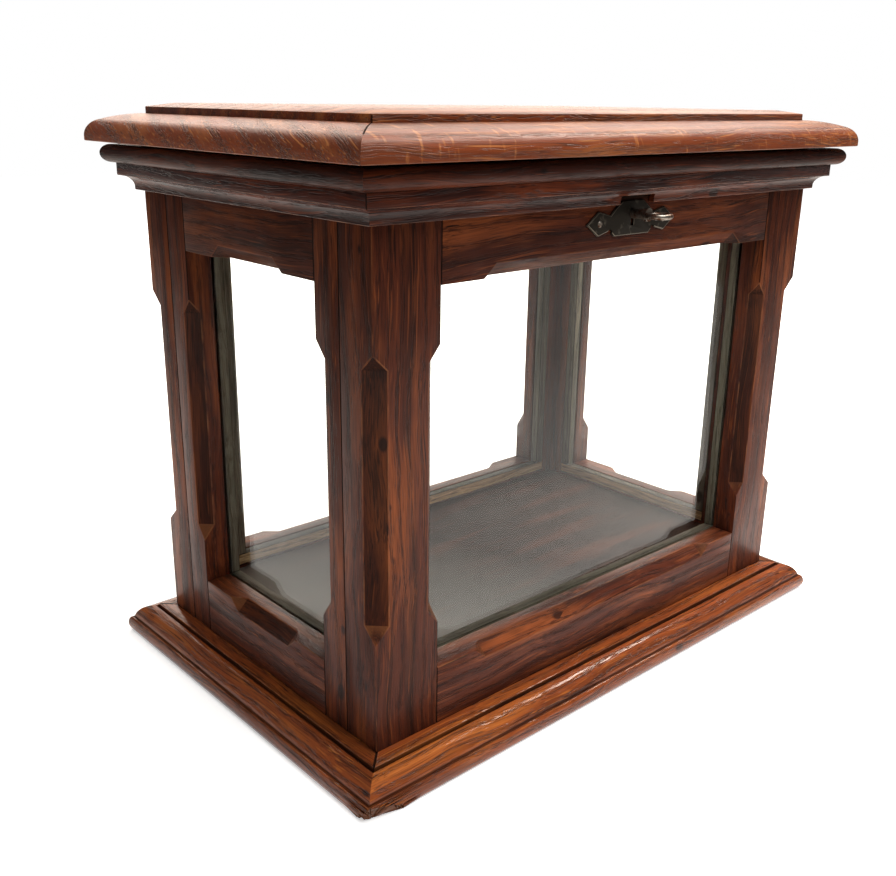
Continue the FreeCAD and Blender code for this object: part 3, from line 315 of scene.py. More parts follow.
class StageSettings(bpy.types.PropertyGroup):
    """Camera, light and floor"""

    camera_place: bpy.props.FloatVectorProperty(
        name="Camera",
        description="Where the camera stands",
        subtype="TRANSLATION",
        default=(-0.5075, -0.5184, 0.3811),
    )
    camera_yaw: bpy.props.FloatProperty(
        name="Camera yaw",
        description="Turn to the right of +Y",
        subtype="ANGLE",
        default=math.radians(42.069),
    )
    camera_pitch: bpy.props.FloatProperty(
        name="Camera pitch",
        description="Tilt below the horizon",
        subtype="ANGLE",
        default=math.radians(18.402),
    )
    camera_roll: bpy.props.FloatProperty(
        name="Camera roll",
        description="Roll about the line of sight",
        subtype="ANGLE",
        default=math.radians(0.806),
    )
    focal_pixels: bpy.props.FloatProperty(
        name="Focal length", description="Focal length in pixels of the photograph", default=1021.8
    )
    floor_colour: colour_property("Floor", "Pale floor under the case", "#f4f4f2")
    floor_size: length_property("Floor size", "Width of the floor", 9000)
    floor_sheen: bpy.props.FloatProperty(
        name="Floor sheen", description="How white the floor by the case is where it is mirrored", default=1.1
    )
    room_light: bpy.props.FloatProperty(
        name="Room light", description="Even light from all round", default=0.2
    )
    window_power: bpy.props.FloatProperty(
        name="Window light", description="Soft light from behind on the right", subtype="POWER", default=75.0
    )
    window_colour: colour_property("Window colour", "Tint of the daylight", "#fff0e2")
    ceiling_power: bpy.props.FloatProperty(
        name="Ceiling light", description="Soft light from overhead", subtype="POWER", default=45.0
    )
    ceiling_colour: colour_property("Ceiling colour", "Tint of the ceiling light", "#ffffff")
    side_power: bpy.props.FloatProperty(
        name="Side light", description="Small bright light from the right", subtype="POWER", default=38.0
    )


# Materials


def add_node(tree, kind, sockets=None, **settings):
    """Adds a node, sets what settings names, and gives each socket a value or a link."""
    node = tree.nodes.new(kind)
    for name, value in settings.items():
        setattr(node, name, value)
    for key, value in (sockets or {}).items():
        if isinstance(value, bpy.types.NodeSocket):
            tree.links.new(value, node.inputs[key])
        else:
            node.inputs[key].default_value = value
    return node


def new_material(name):
    """A material with no nodes, and its node tree."""
    material = bpy.data.materials.new(name)
    material.use_nodes = True
    material.node_tree.nodes.clear()
    return material, material.node_tree


def show(tree, shader):
    add_node(tree, "ShaderNodeOutputMaterial", {"Surface": shader})


def streaks(tree, place, size, detail):
    """Noise drawn out along the grain, in streaks of about that length and width."""
    length, width = size
    drawn = add_node(
        tree, "ShaderNodeVectorMath", {0: place, 1: (1 / length, 1 / width, 1 / width)}, operation="MULTIPLY"
    )
    noise = add_node(
        tree, "ShaderNodeTexNoise", {"Vector": drawn.outputs[0], "Scale": 1.0, "Detail": detail}
    )
    return noise.outputs["Fac"]


def tones_of(oak, wood):
    """The dark, the main and the light colour of one kind of oak."""
    return [getattr(oak, f"{wood}_{tone}") for tone in ("dark", "body", "light")]


def stained_oak(
    name,
    tones,
    bare,
    ring=9 * MM,
    patched=0.75,
    pored=0.55,
    wax=0.5,
    gloss=0.3,
    figure=0.0,
    shade_top=None,
    dust_and_veil=None,
):
    """Oak, planed, stained and waxed: soft bands, ruddy patches, and dark open pores in rows along the rings.

    Rubbed edges show paler wood, with painted highlights on the stops that look up, and joints hold dark wax,
    with painted shade in quirks and under stops. Ring is the distance from ring to ring, patched the strength
    of the ruddy patches, pored the darkness and depth of the pores, wax the weight of the wax and gloss its
    roughness.
    Figure adds the pale ray flecks of quarter-sawn faces. A top height adds dull painted shade that thickens
    up to it, with near black above it, and a film colour adds a film of that colour, thicker to one side:
    dust that is partly a painted reflection veil.
    """
    dark, body, light = (rgba(tone) for tone in tones)
    material, tree = new_material(name)
    place = add_node(tree, "ShaderNodeTexCoord").outputs["Object"]
    board = add_node(tree, "ShaderNodeAttribute", attribute_name="grain").outputs["Vector"]
    worn_and_highlit = add_node(tree, "ShaderNodeAttribute", attribute_name="worn_and_highlit").outputs["Fac"]
    # This mark holds the dark wax of joints and also painted shade on chosen faces
    seam_and_shade = add_node(tree, "ShaderNodeAttribute", attribute_name="seam_and_shade").outputs["Fac"]

    drift = add_node(
        tree, "ShaderNodeTexNoise", {"Vector": board, "Scale": 1 / SWAY_LENGTH, "Detail": 1.0}
    )
    centred = add_node(
        tree, "ShaderNodeVectorMath", {0: drift.outputs["Color"], 1: (0.5, 0.5, 0.5)}, operation="SUBTRACT"
    )
    sway = add_node(tree, "ShaderNodeVectorMath", {0: centred.outputs[0], "Scale": SWAY}, operation="SCALE")
    grain = add_node(
        tree, "ShaderNodeVectorMath", {0: board, 1: sway.outputs[0]}, operation="ADD"
    ).outputs[0]

    # 0 at a growth ring and 0.5 between two, with the pores close to the rings
    tilt = [part / ring for part in RING_TILT]
    count = add_node(tree, "ShaderNodeVectorMath", {0: grain, 1: tilt}, operation="DOT_PRODUCT")
    rings = add_node(
        tree, "ShaderNodeMath", {0: count.outputs["Value"], 1: 0.5}, operation="PINGPONG"
    ).outputs[0]
    openings = streaks(tree, grain, PORES, 1.5)
    pores = add_node(
        tree, "ShaderNodeMath", {0: rings, 1: -0.5, 2: openings}, operation="MULTIPLY_ADD"
    ).outputs[0]
    fibres = streaks(tree, grain, FIBRES, 2.0)

    # Only the cells whose colour is dark hold a dent
    length, width = DENTS
    spots = add_node(
        tree, "ShaderNodeVectorMath", {0: grain, 1: (1 / length, 1 / width, 1 / width)}, operation="MULTIPLY"
    )
    cells = add_node(tree, "ShaderNodeTexVoronoi", {"Vector": spots.outputs[0], "Scale": 1.0})
    dents = add_node(
        tree, "ShaderNodeMath", {0: cells.outputs["Distance"], 1: cells.outputs["Color"]}, operation="ADD"
    ).outputs[0]
    patchy = add_node(
        tree, "ShaderNodeTexNoise", {"Vector": board, "Scale": 1 / RUBBED_PATCH, "Detail": 3.0}
    ).outputs["Fac"]
    # Wear in patches, which on the stops that look up is a painted highlight
    rubbed = add_node(tree, "ShaderNodeMath", {0: worn_and_highlit, 1: patchy}, operation="MULTIPLY").outputs[0]

    # Each layer is drawn over the ones before it: what it follows, where that starts to show and is full, and
    # the layer's strength and colour
    layers = [
        (streaks(tree, grain, (BAND_LENGTH, BAND_RINGS * ring), 2.0), 0.45, 0.68, 0.7, dark),
        (streaks(tree, board, RUDDY_PATCHES, 3.0), 0.5, 0.72, patched, light),
        (rings, 0.2, 0.0, 0.35, dark),
        (fibres, 0.45, 0.7, 0.5, dark),
        (streaks(tree, grain, PALE_FIBRES, 1.0), 0.6, 0.75, 0.45, light),
    ]
    if figure:
        layers.append((streaks(tree, grain, RAY_FLECKS, 2.0), 0.6, 0.7, figure, light))
    layers += [
        (pores, 0.46, 0.54, pored, dark),
        (streaks(tree, grain, SHAKES, 1.0), 0.67, 0.73, 0.85, dark),
        (dents, 0.36, 0.28, 0.85, dark),
        # Pale wear and painted highlights, then joints' dark wax and painted shade
        (rubbed, 0.4, 0.7, 0.6, rgba(bare)),
        (seam_and_shade, 0.0, 1.0, 0.9, WAX_AND_SHADE_BLACK),
    ]
    # A film of dust that is partly a painted reflection veil, thicker to one side
    if dust_and_veil is not None:
        side = add_node(tree, "ShaderNodeVectorMath", {0: place, 1: DUST_AND_VEIL_SIDE}, operation="DOT_PRODUCT")
        layers.append((side.outputs["Value"], 0.0, DUST_AND_VEIL_REACH, DUST_AND_VEIL_SHARE, rgba(dust_and_veil)))
    dull = seam_and_shade
    # Painted shade under the cornice: the frames darken and lose their wax towards it
    if shade_top is not None:
        level = add_node(tree, "ShaderNodeSeparateXYZ", {"Vector": place}).outputs["Z"]
        cornice_shade = add_node(
            tree,
            "ShaderNodeMapRange",
            {"Value": level, "From Min": shade_top - CORNICE_SHADE_REACH, "From Max": shade_top},
        ).outputs["Result"]
        layers.append((cornice_shade, 0.0, 1.0, CORNICE_SHADE, dark))
        # Painted shade behind the cornice: the wood above its foot goes near black
        layers.append((level, shade_top, shade_top + NOTCH_SHADE_REACH, 0.9, WAX_AND_SHADE_BLACK))
        dull = add_node(tree, "ShaderNodeMath", {0: seam_and_shade, 1: cornice_shade}, operation="MAXIMUM").outputs[0]
    colour = body
    for value, start, full, strength, tone in layers:
        share = add_node(
            tree,
            "ShaderNodeMapRange",
            {"Value": value, "From Min": start, "From Max": full, "To Max": strength},
        )
        mixed = add_node(
            tree, "ShaderNodeMix", {0: share.outputs["Result"], MIX_A: colour, MIX_B: tone}, data_type="RGBA"
        )
        colour = mixed.outputs[MIX_RESULT]

    coat = add_node(tree, "ShaderNodeMapRange", {"Value": dull, "To Min": wax, "To Max": 0.0})
    roughness = add_node(
        tree,
        "ShaderNodeMapRange",
        {"Value": patchy, "From Min": 0.3, "From Max": 0.7, "To Min": 0.6, "To Max": 0.8},
    )
    # Fibres stand up a little, and pores are sunk
    ridges = add_node(tree, "ShaderNodeMath", {0: fibres, 1: 0.6}, operation="MULTIPLY")
    sunk = add_node(tree, "ShaderNodeMapRange", {"Value": pores, "From Min": 0.45, "From Max": 0.55})
    height = add_node(
        tree, "ShaderNodeMath", {0: ridges.outputs[0], 1: sunk.outputs["Result"]}, operation="SUBTRACT"
    )
    bump = add_node(
        tree, "ShaderNodeBump", {"Height": height.outputs[0], "Strength": pored, "Distance": PORE_DEPTH}
    ).outputs["Normal"]
    shader = add_node(
        tree,
        "ShaderNodeBsdfPrincipled",
        {
            "Base Color": colour,
            "Roughness": roughness.outputs["Result"],
            "Normal": bump,
            "Specular IOR Level": WOOD_SPECULAR,
            "Coat Weight": coat.outputs["Result"],
            "Coat IOR": WAX_IOR,
            "Coat Roughness": gloss,
            "Coat Normal": bump,
        },
    )
    show(tree, shader.outputs["BSDF"])
    return material


def old_metal(name, clean, film, cover, roughness):
    """Cast or wrought metal gone dull: bright where it is handled, with a blotchy film and fine pits."""
    material, tree = new_material(name)
    place = add_node(tree, "ShaderNodeTexCoord").outputs["Object"]
    worn_and_highlit = add_node(tree, "ShaderNodeAttribute", attribute_name="worn_and_highlit").outputs["Fac"]
    blotch = add_node(tree, "ShaderNodeTexNoise", {"Vector": place, "Scale": 1 / BLOTCH, "Detail": 5.0})
    start = FILM_START - cover * FILM_SPREAD
    filmed = add_node(
        tree,
        "ShaderNodeMapRange",
        {"Value": blotch.outputs["Fac"], "From Min": start, "From Max": start + FILM_EDGE},
    )
    kept = add_node(tree, "ShaderNodeMath", {0: 1.0, 1: worn_and_highlit}, operation="SUBTRACT")
    share = add_node(
        tree, "ShaderNodeMath", {0: filmed.outputs["Result"], 1: kept.outputs[0]}, operation="MULTIPLY"
    ).outputs[0]
    colour = add_node(
        tree, "ShaderNodeMix", {0: share, MIX_A: rgba(clean), MIX_B: rgba(film)}, data_type="RGBA"
    )
    dulled = add_node(
        tree,
        "ShaderNodeMapRange",
        {"Value": share, "To Min": roughness, "To Max": roughness + FILM_ROUGHNESS},
    )
    pits = add_node(tree, "ShaderNodeTexNoise", {"Vector": place, "Scale": 1 / PIT, "Detail": 3.0})
    bump = add_node(
        tree, "ShaderNodeBump", {"Height": pits.outputs["Fac"], "Strength": 0.3, "Distance": PIT_DEPTH}
    )
    shader = add_node(
        tree,
        "ShaderNodeBsdfPrincipled",
        {
            "Base Color": colour.outputs[MIX_RESULT],
            "Metallic": 1.0,
            "Roughness": dulled.outputs["Result"],
            "Normal": bump.outputs["Normal"],
        },
    )
    show(tree, shader.outputs["BSDF"])
    return material


def old_glass(name, tint):
    """Drawn window glass: clear and faintly green, slightly wavy in what it mirrors, and a little dusty.

    Light from the lamps goes straight through it.
    """
    material, tree = new_material(name)
    place = add_node(tree, "ShaderNodeTexCoord").outputs["Object"]
    waves = add_node(tree, "ShaderNodeTexNoise", {"Vector": place, "Scale": 1 / WAVE, "Detail": 1.0})
    bump = add_node(
        tree, "ShaderNodeBump", {"Height": waves.outputs["Fac"], "Strength": 0.05, "Distance": WAVE_DEPTH}
    )
    specks = add_node(tree, "ShaderNodeTexNoise", {"Vector": place, "Scale": 1 / SPECK, "Detail": 6.0})
    haze = add_node(
        tree,
        "ShaderNodeMapRange",
        {"Value": specks.outputs["Fac"], "From Min": 0.5, "From Max": 0.8, "To Max": SPECK_SHADE},
    )
    dusty = add_node(
        tree, "ShaderNodeMix", {0: haze.outputs["Result"], MIX_A: rgba(tint), MIX_B: BLACK}, data_type="RGBA"
    )
    pane = add_node(
        tree,
        "ShaderNodeBsdfPrincipled",
        {
            "Base Color": dusty.outputs[MIX_RESULT],
            "Roughness": 0.0,
            "IOR": GLASS_IOR,
            "Transmission Weight": 1.0,
            "Normal": bump.outputs["Normal"],
        },
    )
    clear = add_node(tree, "ShaderNodeBsdfTransparent", {"Color": rgba(tint)})
    from_lamps = add_node(tree, "ShaderNodeLightPath").outputs["Is Shadow Ray"]
    surface = add_node(
        tree, "ShaderNodeMixShader", {0: from_lamps, 1: pane.outputs["BSDF"], 2: clear.outputs["BSDF"]}
    )
    show(tree, surface.outputs["Shader"])
    return material


# Working on copies of the CAD pieces


def select_only(piece):
    """Makes one piece the only selected and active object."""
    bpy.ops.object.select_all(action="DESELECT")
    piece.select_set(True)
    bpy.context.view_layer.objects.active = piece


def copy_of_node(node, name):
    """A copy of a CAD piece as a new object, its loose triangles merged into whole flat faces."""
    mesh = frame["nodes"][node].data.copy()
    mesh.name = name
    mesh.materials.clear()
    piece = bpy.data.objects.new(name, mesh)
    bpy.context.scene.collection.objects.link(piece)
    select_only(piece)
    bpy.ops.mesh.customdata_custom_splitnormals_clear()
    bpy.ops.object.mode_set(mode="EDIT")
    bpy.ops.mesh.select_mode(type="EDGE")
    bpy.ops.mesh.select_all(action="SELECT")
    bpy.ops.mesh.remove_doubles(threshold=WELD)
    bpy.ops.mesh.dissolve_limited(angle_limit=FLAT_ANGLE)
    bpy.ops.object.mode_set(mode="OBJECT")
    return piece


def meets_another(node, place):
    """Tells whether a place on the edge of one wooden piece lies against another."""
    for other, (low, high) in WOOD_BOXES.items():
        if other != node and all(low[i] - SEAM < place[i] < high[i] + SEAM for i in range(3)):
            return True
    return False


def ease_edges(piece, node, material, arris):
    """Rounds each long outward edge, and marks wear, joints' dark wax, painted highlights and painted shade
    on the faces.
    """
    mesh = piece.data
    # The second slot tells the new faces apart, and goes again at the end
    for _ in ("faces", "eased edges"):
        mesh.materials.append(material)
    select_only(piece)
    bpy.ops.object.mode_set(mode="EDIT")
    bpy.ops.mesh.select_mode(type="EDGE")
    bpy.ops.mesh.select_all(action="DESELECT")
    shape = bmesh.from_edit_mesh(mesh)
    seam_and_shade = shape.faces.layers.float.new("seam_and_shade")
    shape.faces.layers.float.new("worn_and_highlit")
    for face in shape.faces:
        # Painted shade on narrow hollow faces such as quirks, and each listed board darkened by its share
        narrow = face.calc_area() / max(edge.calc_length() for edge in face.edges) < QUIRK_WIDTH
        hollow = any(edge.calc_face_angle_signed(0.0) < -EDGE_ANGLE for edge in face.edges)
        face[seam_and_shade] = DEEP_PAINTED_SHADE if narrow and hollow else BOARD_DARKENING.get(node, 0.0)
    for edge in shape.edges:
        outward = edge.calc_face_angle_signed(0.0) > EDGE_ANGLE
        edge.select_set(outward and edge.calc_length() > EDGE_LENGTH)
    bmesh.update_edit_mesh(mesh)
    bpy.ops.mesh.bevel(
        offset=arris, segments=EDGE_STEPS, affect="EDGES", material=EASED_SLOT, clamp_overlap=False
    )
    shape = bmesh.from_edit_mesh(mesh)
    worn_and_highlit = shape.faces.layers.float.get("worn_and_highlit")
    seam_and_shade = shape.faces.layers.float.get("seam_and_shade")
    framing = NODE_SLOT[node] == "oak_frame"
    for face in shape.faces:
        leaning = framing and max(abs(part) for part in face.normal) < SQUARE_ON
        if face.material_index == EASED_SLOT:
            face[seam_and_shade] = float(meets_another(node, face.calc_center_median()))
            face[worn_and_highlit] = 1.0 - face[seam_and_shade]
        # Painted light on the chamfers' stops: those that look up are paled as a highlight, those that look
        # down darkened as shade
        elif leaning and abs(face.normal.z) > STOP_SLOPE and face.calc_area() < STOP_AREA:
            face[worn_and_highlit] = STOP_HIGHLIGHT if face.normal.z > 0.0 else 0.0
            face[seam_and_shade] = STOP_AND_TORN_DARKENING if face.normal.z > 0.0 else DEEP_PAINTED_SHADE
        # Painted shade on the chamfers that look to the left, away from the window
        elif leaning and face.normal.x < LEFTWARD:
            face[seam_and_shade] = LEFT_CHAMFER_SHADE
        face.material_index = 0
    bmesh.update_edit_mesh(mesh)
    bpy.ops.object.mode_set(mode="OBJECT")
    mesh.materials.pop()
    bpy.ops.object.shade_smooth_by_angle(angle=SMOOTH_ANGLE)


def lay_grain(piece, number, slant=None):
    """Gives each corner its place in the board: along the grain, across it and through it.

    The grain runs along the piece's longest side, turned by slant, and number moves it to another board.
    """
    corners = [vertex.co for vertex in piece.data.vertices]
    spans = [max(c[i] for c in corners) - min(c[i] for c in corners) for i in range(3)]
    thin, wide, long = sorted(range(3), key=lambda i: spans[i])
    directions = [Vector([float(i == axis) for i in range(3)]) for axis in (long, wide, thin)]
    turn = slant or Matrix.Identity(3)
    shifts = BOARD_SHIFT * number
    places = []
    for corner in corners:
        places.extend((turn @ direction).dot(corner) + shift for direction, shift in zip(directions, shifts))
    attribute = piece.data.attributes.new("grain", "FLOAT_VECTOR", "POINT")
    attribute.data.foreach_set("vector", places)


def stand_for(piece, node):
    """Puts a finished piece in its CAD node's place, on the node's body, and hides the node."""
    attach(piece, NODE_BODY[node])
    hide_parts(node)


def dress_board(node, material, arris, number, slant=None):
    """Puts a worked copy of one wooden piece in its place."""
    piece = copy_of_node(node, f"oak_{node}")
    ease_edges(piece, node, material, arris)
    lay_grain(piece, number, slant)
    stand_for(piece, node)


def paint_node(node, material):
    """Gives a CAD piece whose shape is right its material."""
    mesh = frame["nodes"][node].data
    mesh.materials.clear()
    mesh.materials.append(material)


def break_corner(piece, corner, reaches, roughness):
    """Breaks a lower corner by cuts that each reach so far along, back and up, and roughens the torn wood.

    The torn wood stays within the piece's old outline.
    """
    low = Vector(min(vertex.co[i] for vertex in piece.data.vertices) for i in range(3))
    right, back = (-math.copysign(1.0, corner[i]) for i in range(2))
    select_only(piece)
    bpy.ops.object.mode_set(mode="EDIT")
    bpy.ops.mesh.select_mode(type="FACE")
    # A cut across the board beside the break keeps its long faces as they are
    axis = 0 if piece.dimensions.x > piece.dimensions.y else 1
    inward = Vector((right, 0, 0)) if axis == 0 else Vector((0, back, 0))
    beside = corner + inward * CHIP_MARGIN * max(reach[axis] for reach in reaches)
    bpy.ops.mesh.select_all(action="SELECT")
    bpy.ops.mesh.bisect(plane_co=beside, plane_no=inward, threshold=CUT_SLACK)
    cuts = []
    for along, deep, high in reaches:
        normal = -Vector((right / along, back / deep, 1 / high)).normalized()
        foot = corner + Vector((right * along, 0, 0))
        bpy.ops.mesh.select_all(action="SELECT")
        bpy.ops.mesh.bisect(
            plane_co=foot, plane_no=normal, use_fill=True, clear_outer=True, threshold=CUT_SLACK
        )
        cuts.append((foot, normal))
    bpy.ops.mesh.select_all(action="DESELECT")
    shape = bmesh.from_edit_mesh(piece.data)
    worn_and_highlit = shape.faces.layers.float.get("worn_and_highlit")
    seam_and_shade = shape.faces.layers.float.get("seam_and_shade")
    for face in shape.faces:
        torn = any(
            all(abs((end.co - foot).dot(normal)) <= CUT_SLACK for end in face.verts) for foot, normal in cuts
        )
        face[worn_and_highlit] = TORN_WEAR if torn else face[worn_and_highlit]
        face[seam_and_shade] = STOP_AND_TORN_DARKENING if torn else face[seam_and_shade]
        face.select_set(torn)
    bmesh.update_edit_mesh(piece.data)
    bpy.ops.mesh.quads_convert_to_tris()
    bpy.ops.mesh.subdivide(number_cuts=TORN_CUTS)
    bpy.ops.transform.vertex_random(
        offset=roughness, uniform=TORN_EVENLY, normal=TORN_OUTWARD, seed=TORN_SEED
    )
    bpy.ops.object.mode_set(mode="OBJECT")
    for vertex in piece.data.vertices:
        vertex.co = [max(pair) for pair in zip(vertex.co, low)]
    bpy.ops.object.shade_smooth_by_angle(angle=SMOOTH_ANGLE)


# One operator for each group of like pieces


class DressFrames(bpy.types.Operator):
    """Eases, stains and waxes the stiles and rails of the four frames"""

    bl_idname = "display_case.dress_frames"
    bl_label = "Frames"

    def execute(self, context):
        case = context.scene.display_case
        tones = tones_of(case.oak, "frame")
        under_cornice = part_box("cornice_front")[0].z
        # The frames get painted shade under the cornice
        oak = stained_oak("stained_oak_frame", tones, case.oak.bare, ring=7 * MM, shade_top=under_cornice)
        nodes = [node for node, slot in NODE_SLOT.items() if slot == "oak_frame"]
        for number, node in enumerate(nodes):
            dress_board(node, oak, case.sizes.frame_arris, number)
        return {"FINISHED"}


class DressMouldings(bpy.types.Operator):
    """Eases, stains and waxes the cornice and the rim"""

    bl_idname = "display_case.dress_mouldings"
    bl_label = "Cornice and rim"

    def execute(self, context):
        case = context.scene.display_case
        tones = tones_of(case.oak, "moulding")
        oak = stained_oak("stained_oak_moulding", tones, case.oak.bare, ring=6 * MM, wax=0.6, gloss=0.15)
        nodes = [node for node, slot in NODE_SLOT.items() if slot == "oak_moulding"]
        for number, node in enumerate(nodes):
            dress_board(node, oak, case.sizes.moulding_arris, number)
        return {"FINISHED"}


class DressBase(bpy.types.Operator):
    """Eases, stains and waxes the base, with its front left corner broken"""

    bl_idname = "display_case.dress_base"
    bl_label = "Base"

    def execute(self, context):
        case = context.scene.display_case
        oak = stained_oak(
            "stained_oak_base",
            tones_of(case.oak, "base"),
            case.oak.bare,
            ring=7 * MM,
            patched=0.4,
            wax=1.0,
            gloss=0.08,
        )
        corner = Vector((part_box("base_member_left")[0].x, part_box("base_member_front")[0].y, 0.0))
        reaches = (case.sizes.chip_corner, case.sizes.chip_front, case.sizes.chip_left)
        for number, side in enumerate(SIDES):
            node = f"base_member_{side}"
            piece = copy_of_node(node, f"oak_{node}")
            ease_edges(piece, node, oak, case.sizes.base_arris)
            if side in ("front", "left"):
                break_corner(piece, corner, reaches, case.sizes.chip_roughness)
            lay_grain(piece, number)
            stand_for(piece, node)
        return {"FINISHED"}


class DressLid(bpy.types.Operator):
    """Eases, stains and waxes the lid's moulded border and panel"""

    bl_idname = "display_case.dress_lid"
    bl_label = "Lid"

    def execute(self, context):
        case = context.scene.display_case
        tones = tones_of(case.oak, "lid")
        waxed = {"wax": 0.85, "gloss": 0.4}
        plain = stained_oak(
            "waxed_oak_lid", tones, case.oak.bare, ring=13 * MM, patched=0.35, pored=0.8, **waxed
        )
        figured = stained_oak(
            "waxed_oak_lid_figured", tones, case.oak.bare, ring=9 * MM, patched=0.45, figure=0.4, **waxed
        )
        for number, side in enumerate(SIDES):
            oak = figured if side in ("front", "back") else plain
            dress_board(f"lid_{side}", oak, case.sizes.lid_arris, number, LID_SLANTS.get(side))
        dress_board("lid_panel", plain, case.sizes.lid_arris, len(SIDES))
        return {"FINISHED"}


class DressInside(bpy.types.Operator):
    """Stains the case's floor and leaves the glazing beads pale"""

    bl_idname = "display_case.dress_inside"
    bl_label = "Floor and beads"

    def execute(self, context):
        case = context.scene.display_case
        # The floor's dust is partly a painted reflection veil, thicker towards the front left
        floor = stained_oak(
            "dusty_veiled_oak_floor",
            tones_of(case.oak, "floor"),
            case.oak.bare,
            ring=30 * MM,
            pored=0.1,
            wax=0.0,
            dust_and_veil=case.oak.floor_dust_and_veil,
        )
        dress_board("floor_panel", floor, case.sizes.bead_arris, 0)
        tones = tones_of(case.oak, "bead")
        grimy = stained_oak("grimy_oak_bead", tones, case.oak.bead_light, ring=4 * MM, wax=0.2)
        tones = tones_of(case.oak, "bare")
        bare = stained_oak("bare_oak_bead", tones, case.oak.bare_light, ring=4 * MM, wax=0.0)
        for number, side in enumerate(SIDES):
            self.dress_beads(side, grimy, bare, case.sizes, number)
        return {"FINISHED"}

    def dress_beads(self, side, grimy, bare, sizes, number):
        """Four strips round a pane, the uprights between the level ones, with the grain along each.

        Grime covers them all but the lowest one's bare face inside the case.
        """
        node = f"{side}_glazing_beads"
        along = 0 if side in ("front", "back") else 1
        through = 1 - along
        strips = []
        for axis in (2, along):
            for far in (False, True):
                low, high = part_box(node)
                if axis == along:
                    low.z += sizes.bead_width
                    high.z -= sizes.bead_width
                if far:
                    low[axis] = high[axis] - sizes.bead_width
                else:
                    high[axis] = low[axis] + sizes.bead_width
                strips.append(self.plane_strip(node, low, high, grimy, sizes.bead_arris))
                lay_grain(strips[-1], number * PANE_STRIPS + len(strips))
        lowest = strips[0]
        lowest.data.materials.append(bare)
        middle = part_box("floor_panel")[0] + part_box("floor_panel")[1]
        for face in lowest.data.polygons:
            facing = face.normal[through]
            inward = middle[through] / 2 - face.center[through]
            face.material_index = int(abs(facing) > SQUARE_ON and facing * inward > 0)
            # Painted shade on the lowest strip's top face
            if face.normal.z > SQUARE_ON:
                lowest.data.attributes["seam_and_shade"].data[face.index].value = DEEP_PAINTED_SHADE
        select_only(lowest)
        for strip in strips:
            strip.select_set(True)
        bpy.ops.object.join()
        lowest.name = f"oak_{node}"
        stand_for(lowest, node)

    def plane_strip(self, node, low, high, material, arris):
        """A straight strip from corner to corner with its edges eased."""
        bpy.ops.object.select_all(action="DESELECT")
        bpy.ops.mesh.primitive_cube_add(size=1.0, location=(low + high) / 2)
        strip = bpy.context.object
        strip.scale = high - low
        bpy.ops.object.transform_apply(location=True, rotation=True, scale=True)
        ease_edges(strip, node, material, arris)
        return strip


class GlazePanes(bpy.types.Operator):
    """Makes the four panes old drawn glass"""

    bl_idname = "display_case.glaze_panes"
    bl_label = "Glass"

    def execute(self, context):
        glass = old_glass("drawn_window_glass", context.scene.display_case.fittings.glass)
        for side in SIDES:
            paint_node(f"{side}_glass", glass)
        return {"FINISHED"}


class DressFittings(bpy.types.Operator):
    """Gives the hinges, the lock and the screws their metals"""

    bl_idname = "display_case.dress_fittings"
    bl_label = "Hinges, lock and screws"

    def execute(self, context):
        colours = context.scene.display_case.fittings
        metals = {
            "hinge_brass": old_metal(
                "aged_cast_brass", colours.brass, colours.brass_dull, cover=0.6, roughness=0.35
            ),
            "lock_iron": old_metal(
                "wrought_lock_iron", colours.iron, colours.iron_rust, cover=0.5, roughness=0.45
            ),
            "fixing_steel": old_metal(
                "dull_screw_steel", colours.key, colours.iron_rust, cover=0.5, roughness=0.4
            ),
        }
        for node, slot in NODE_SLOT.items():
            if slot in metals:
                paint_node(node, metals[slot])
        return {"FINISHED"}


class DressLockPlate(bpy.types.Operator):
    """Files the lock plate's edges bright"""

    bl_idname = "display_case.dress_lock_plate"
    bl_label = "Lock plate"

    def execute(self, context):
        case = context.scene.display_case
        colours = case.fittings
        metal = old_metal(
            "tarnished_plate_brass", colours.plate_edge, colours.plate, cover=1.0, roughness=0.4
        )
        piece = copy_of_node("escutcheon", "lock_plate")
        ease_edges(piece, "escutcheon", metal, case.sizes.plate_arris)
        stand_for(piece, "escutcheon")
        return {"FINISHED"}


class DressKey(bpy.types.Operator):
    """Gives the key steel under a blotchy brown film"""

    bl_idname = "display_case.dress_key"
    bl_label = "Key"

    def execute(self, context):
        colours = context.scene.display_case.fittings
        steel = old_metal("handled_key_steel", colours.key, colours.key_rust, cover=0.6, roughness=0.3)
        paint_node("key", steel)
        return {"FINISHED"}


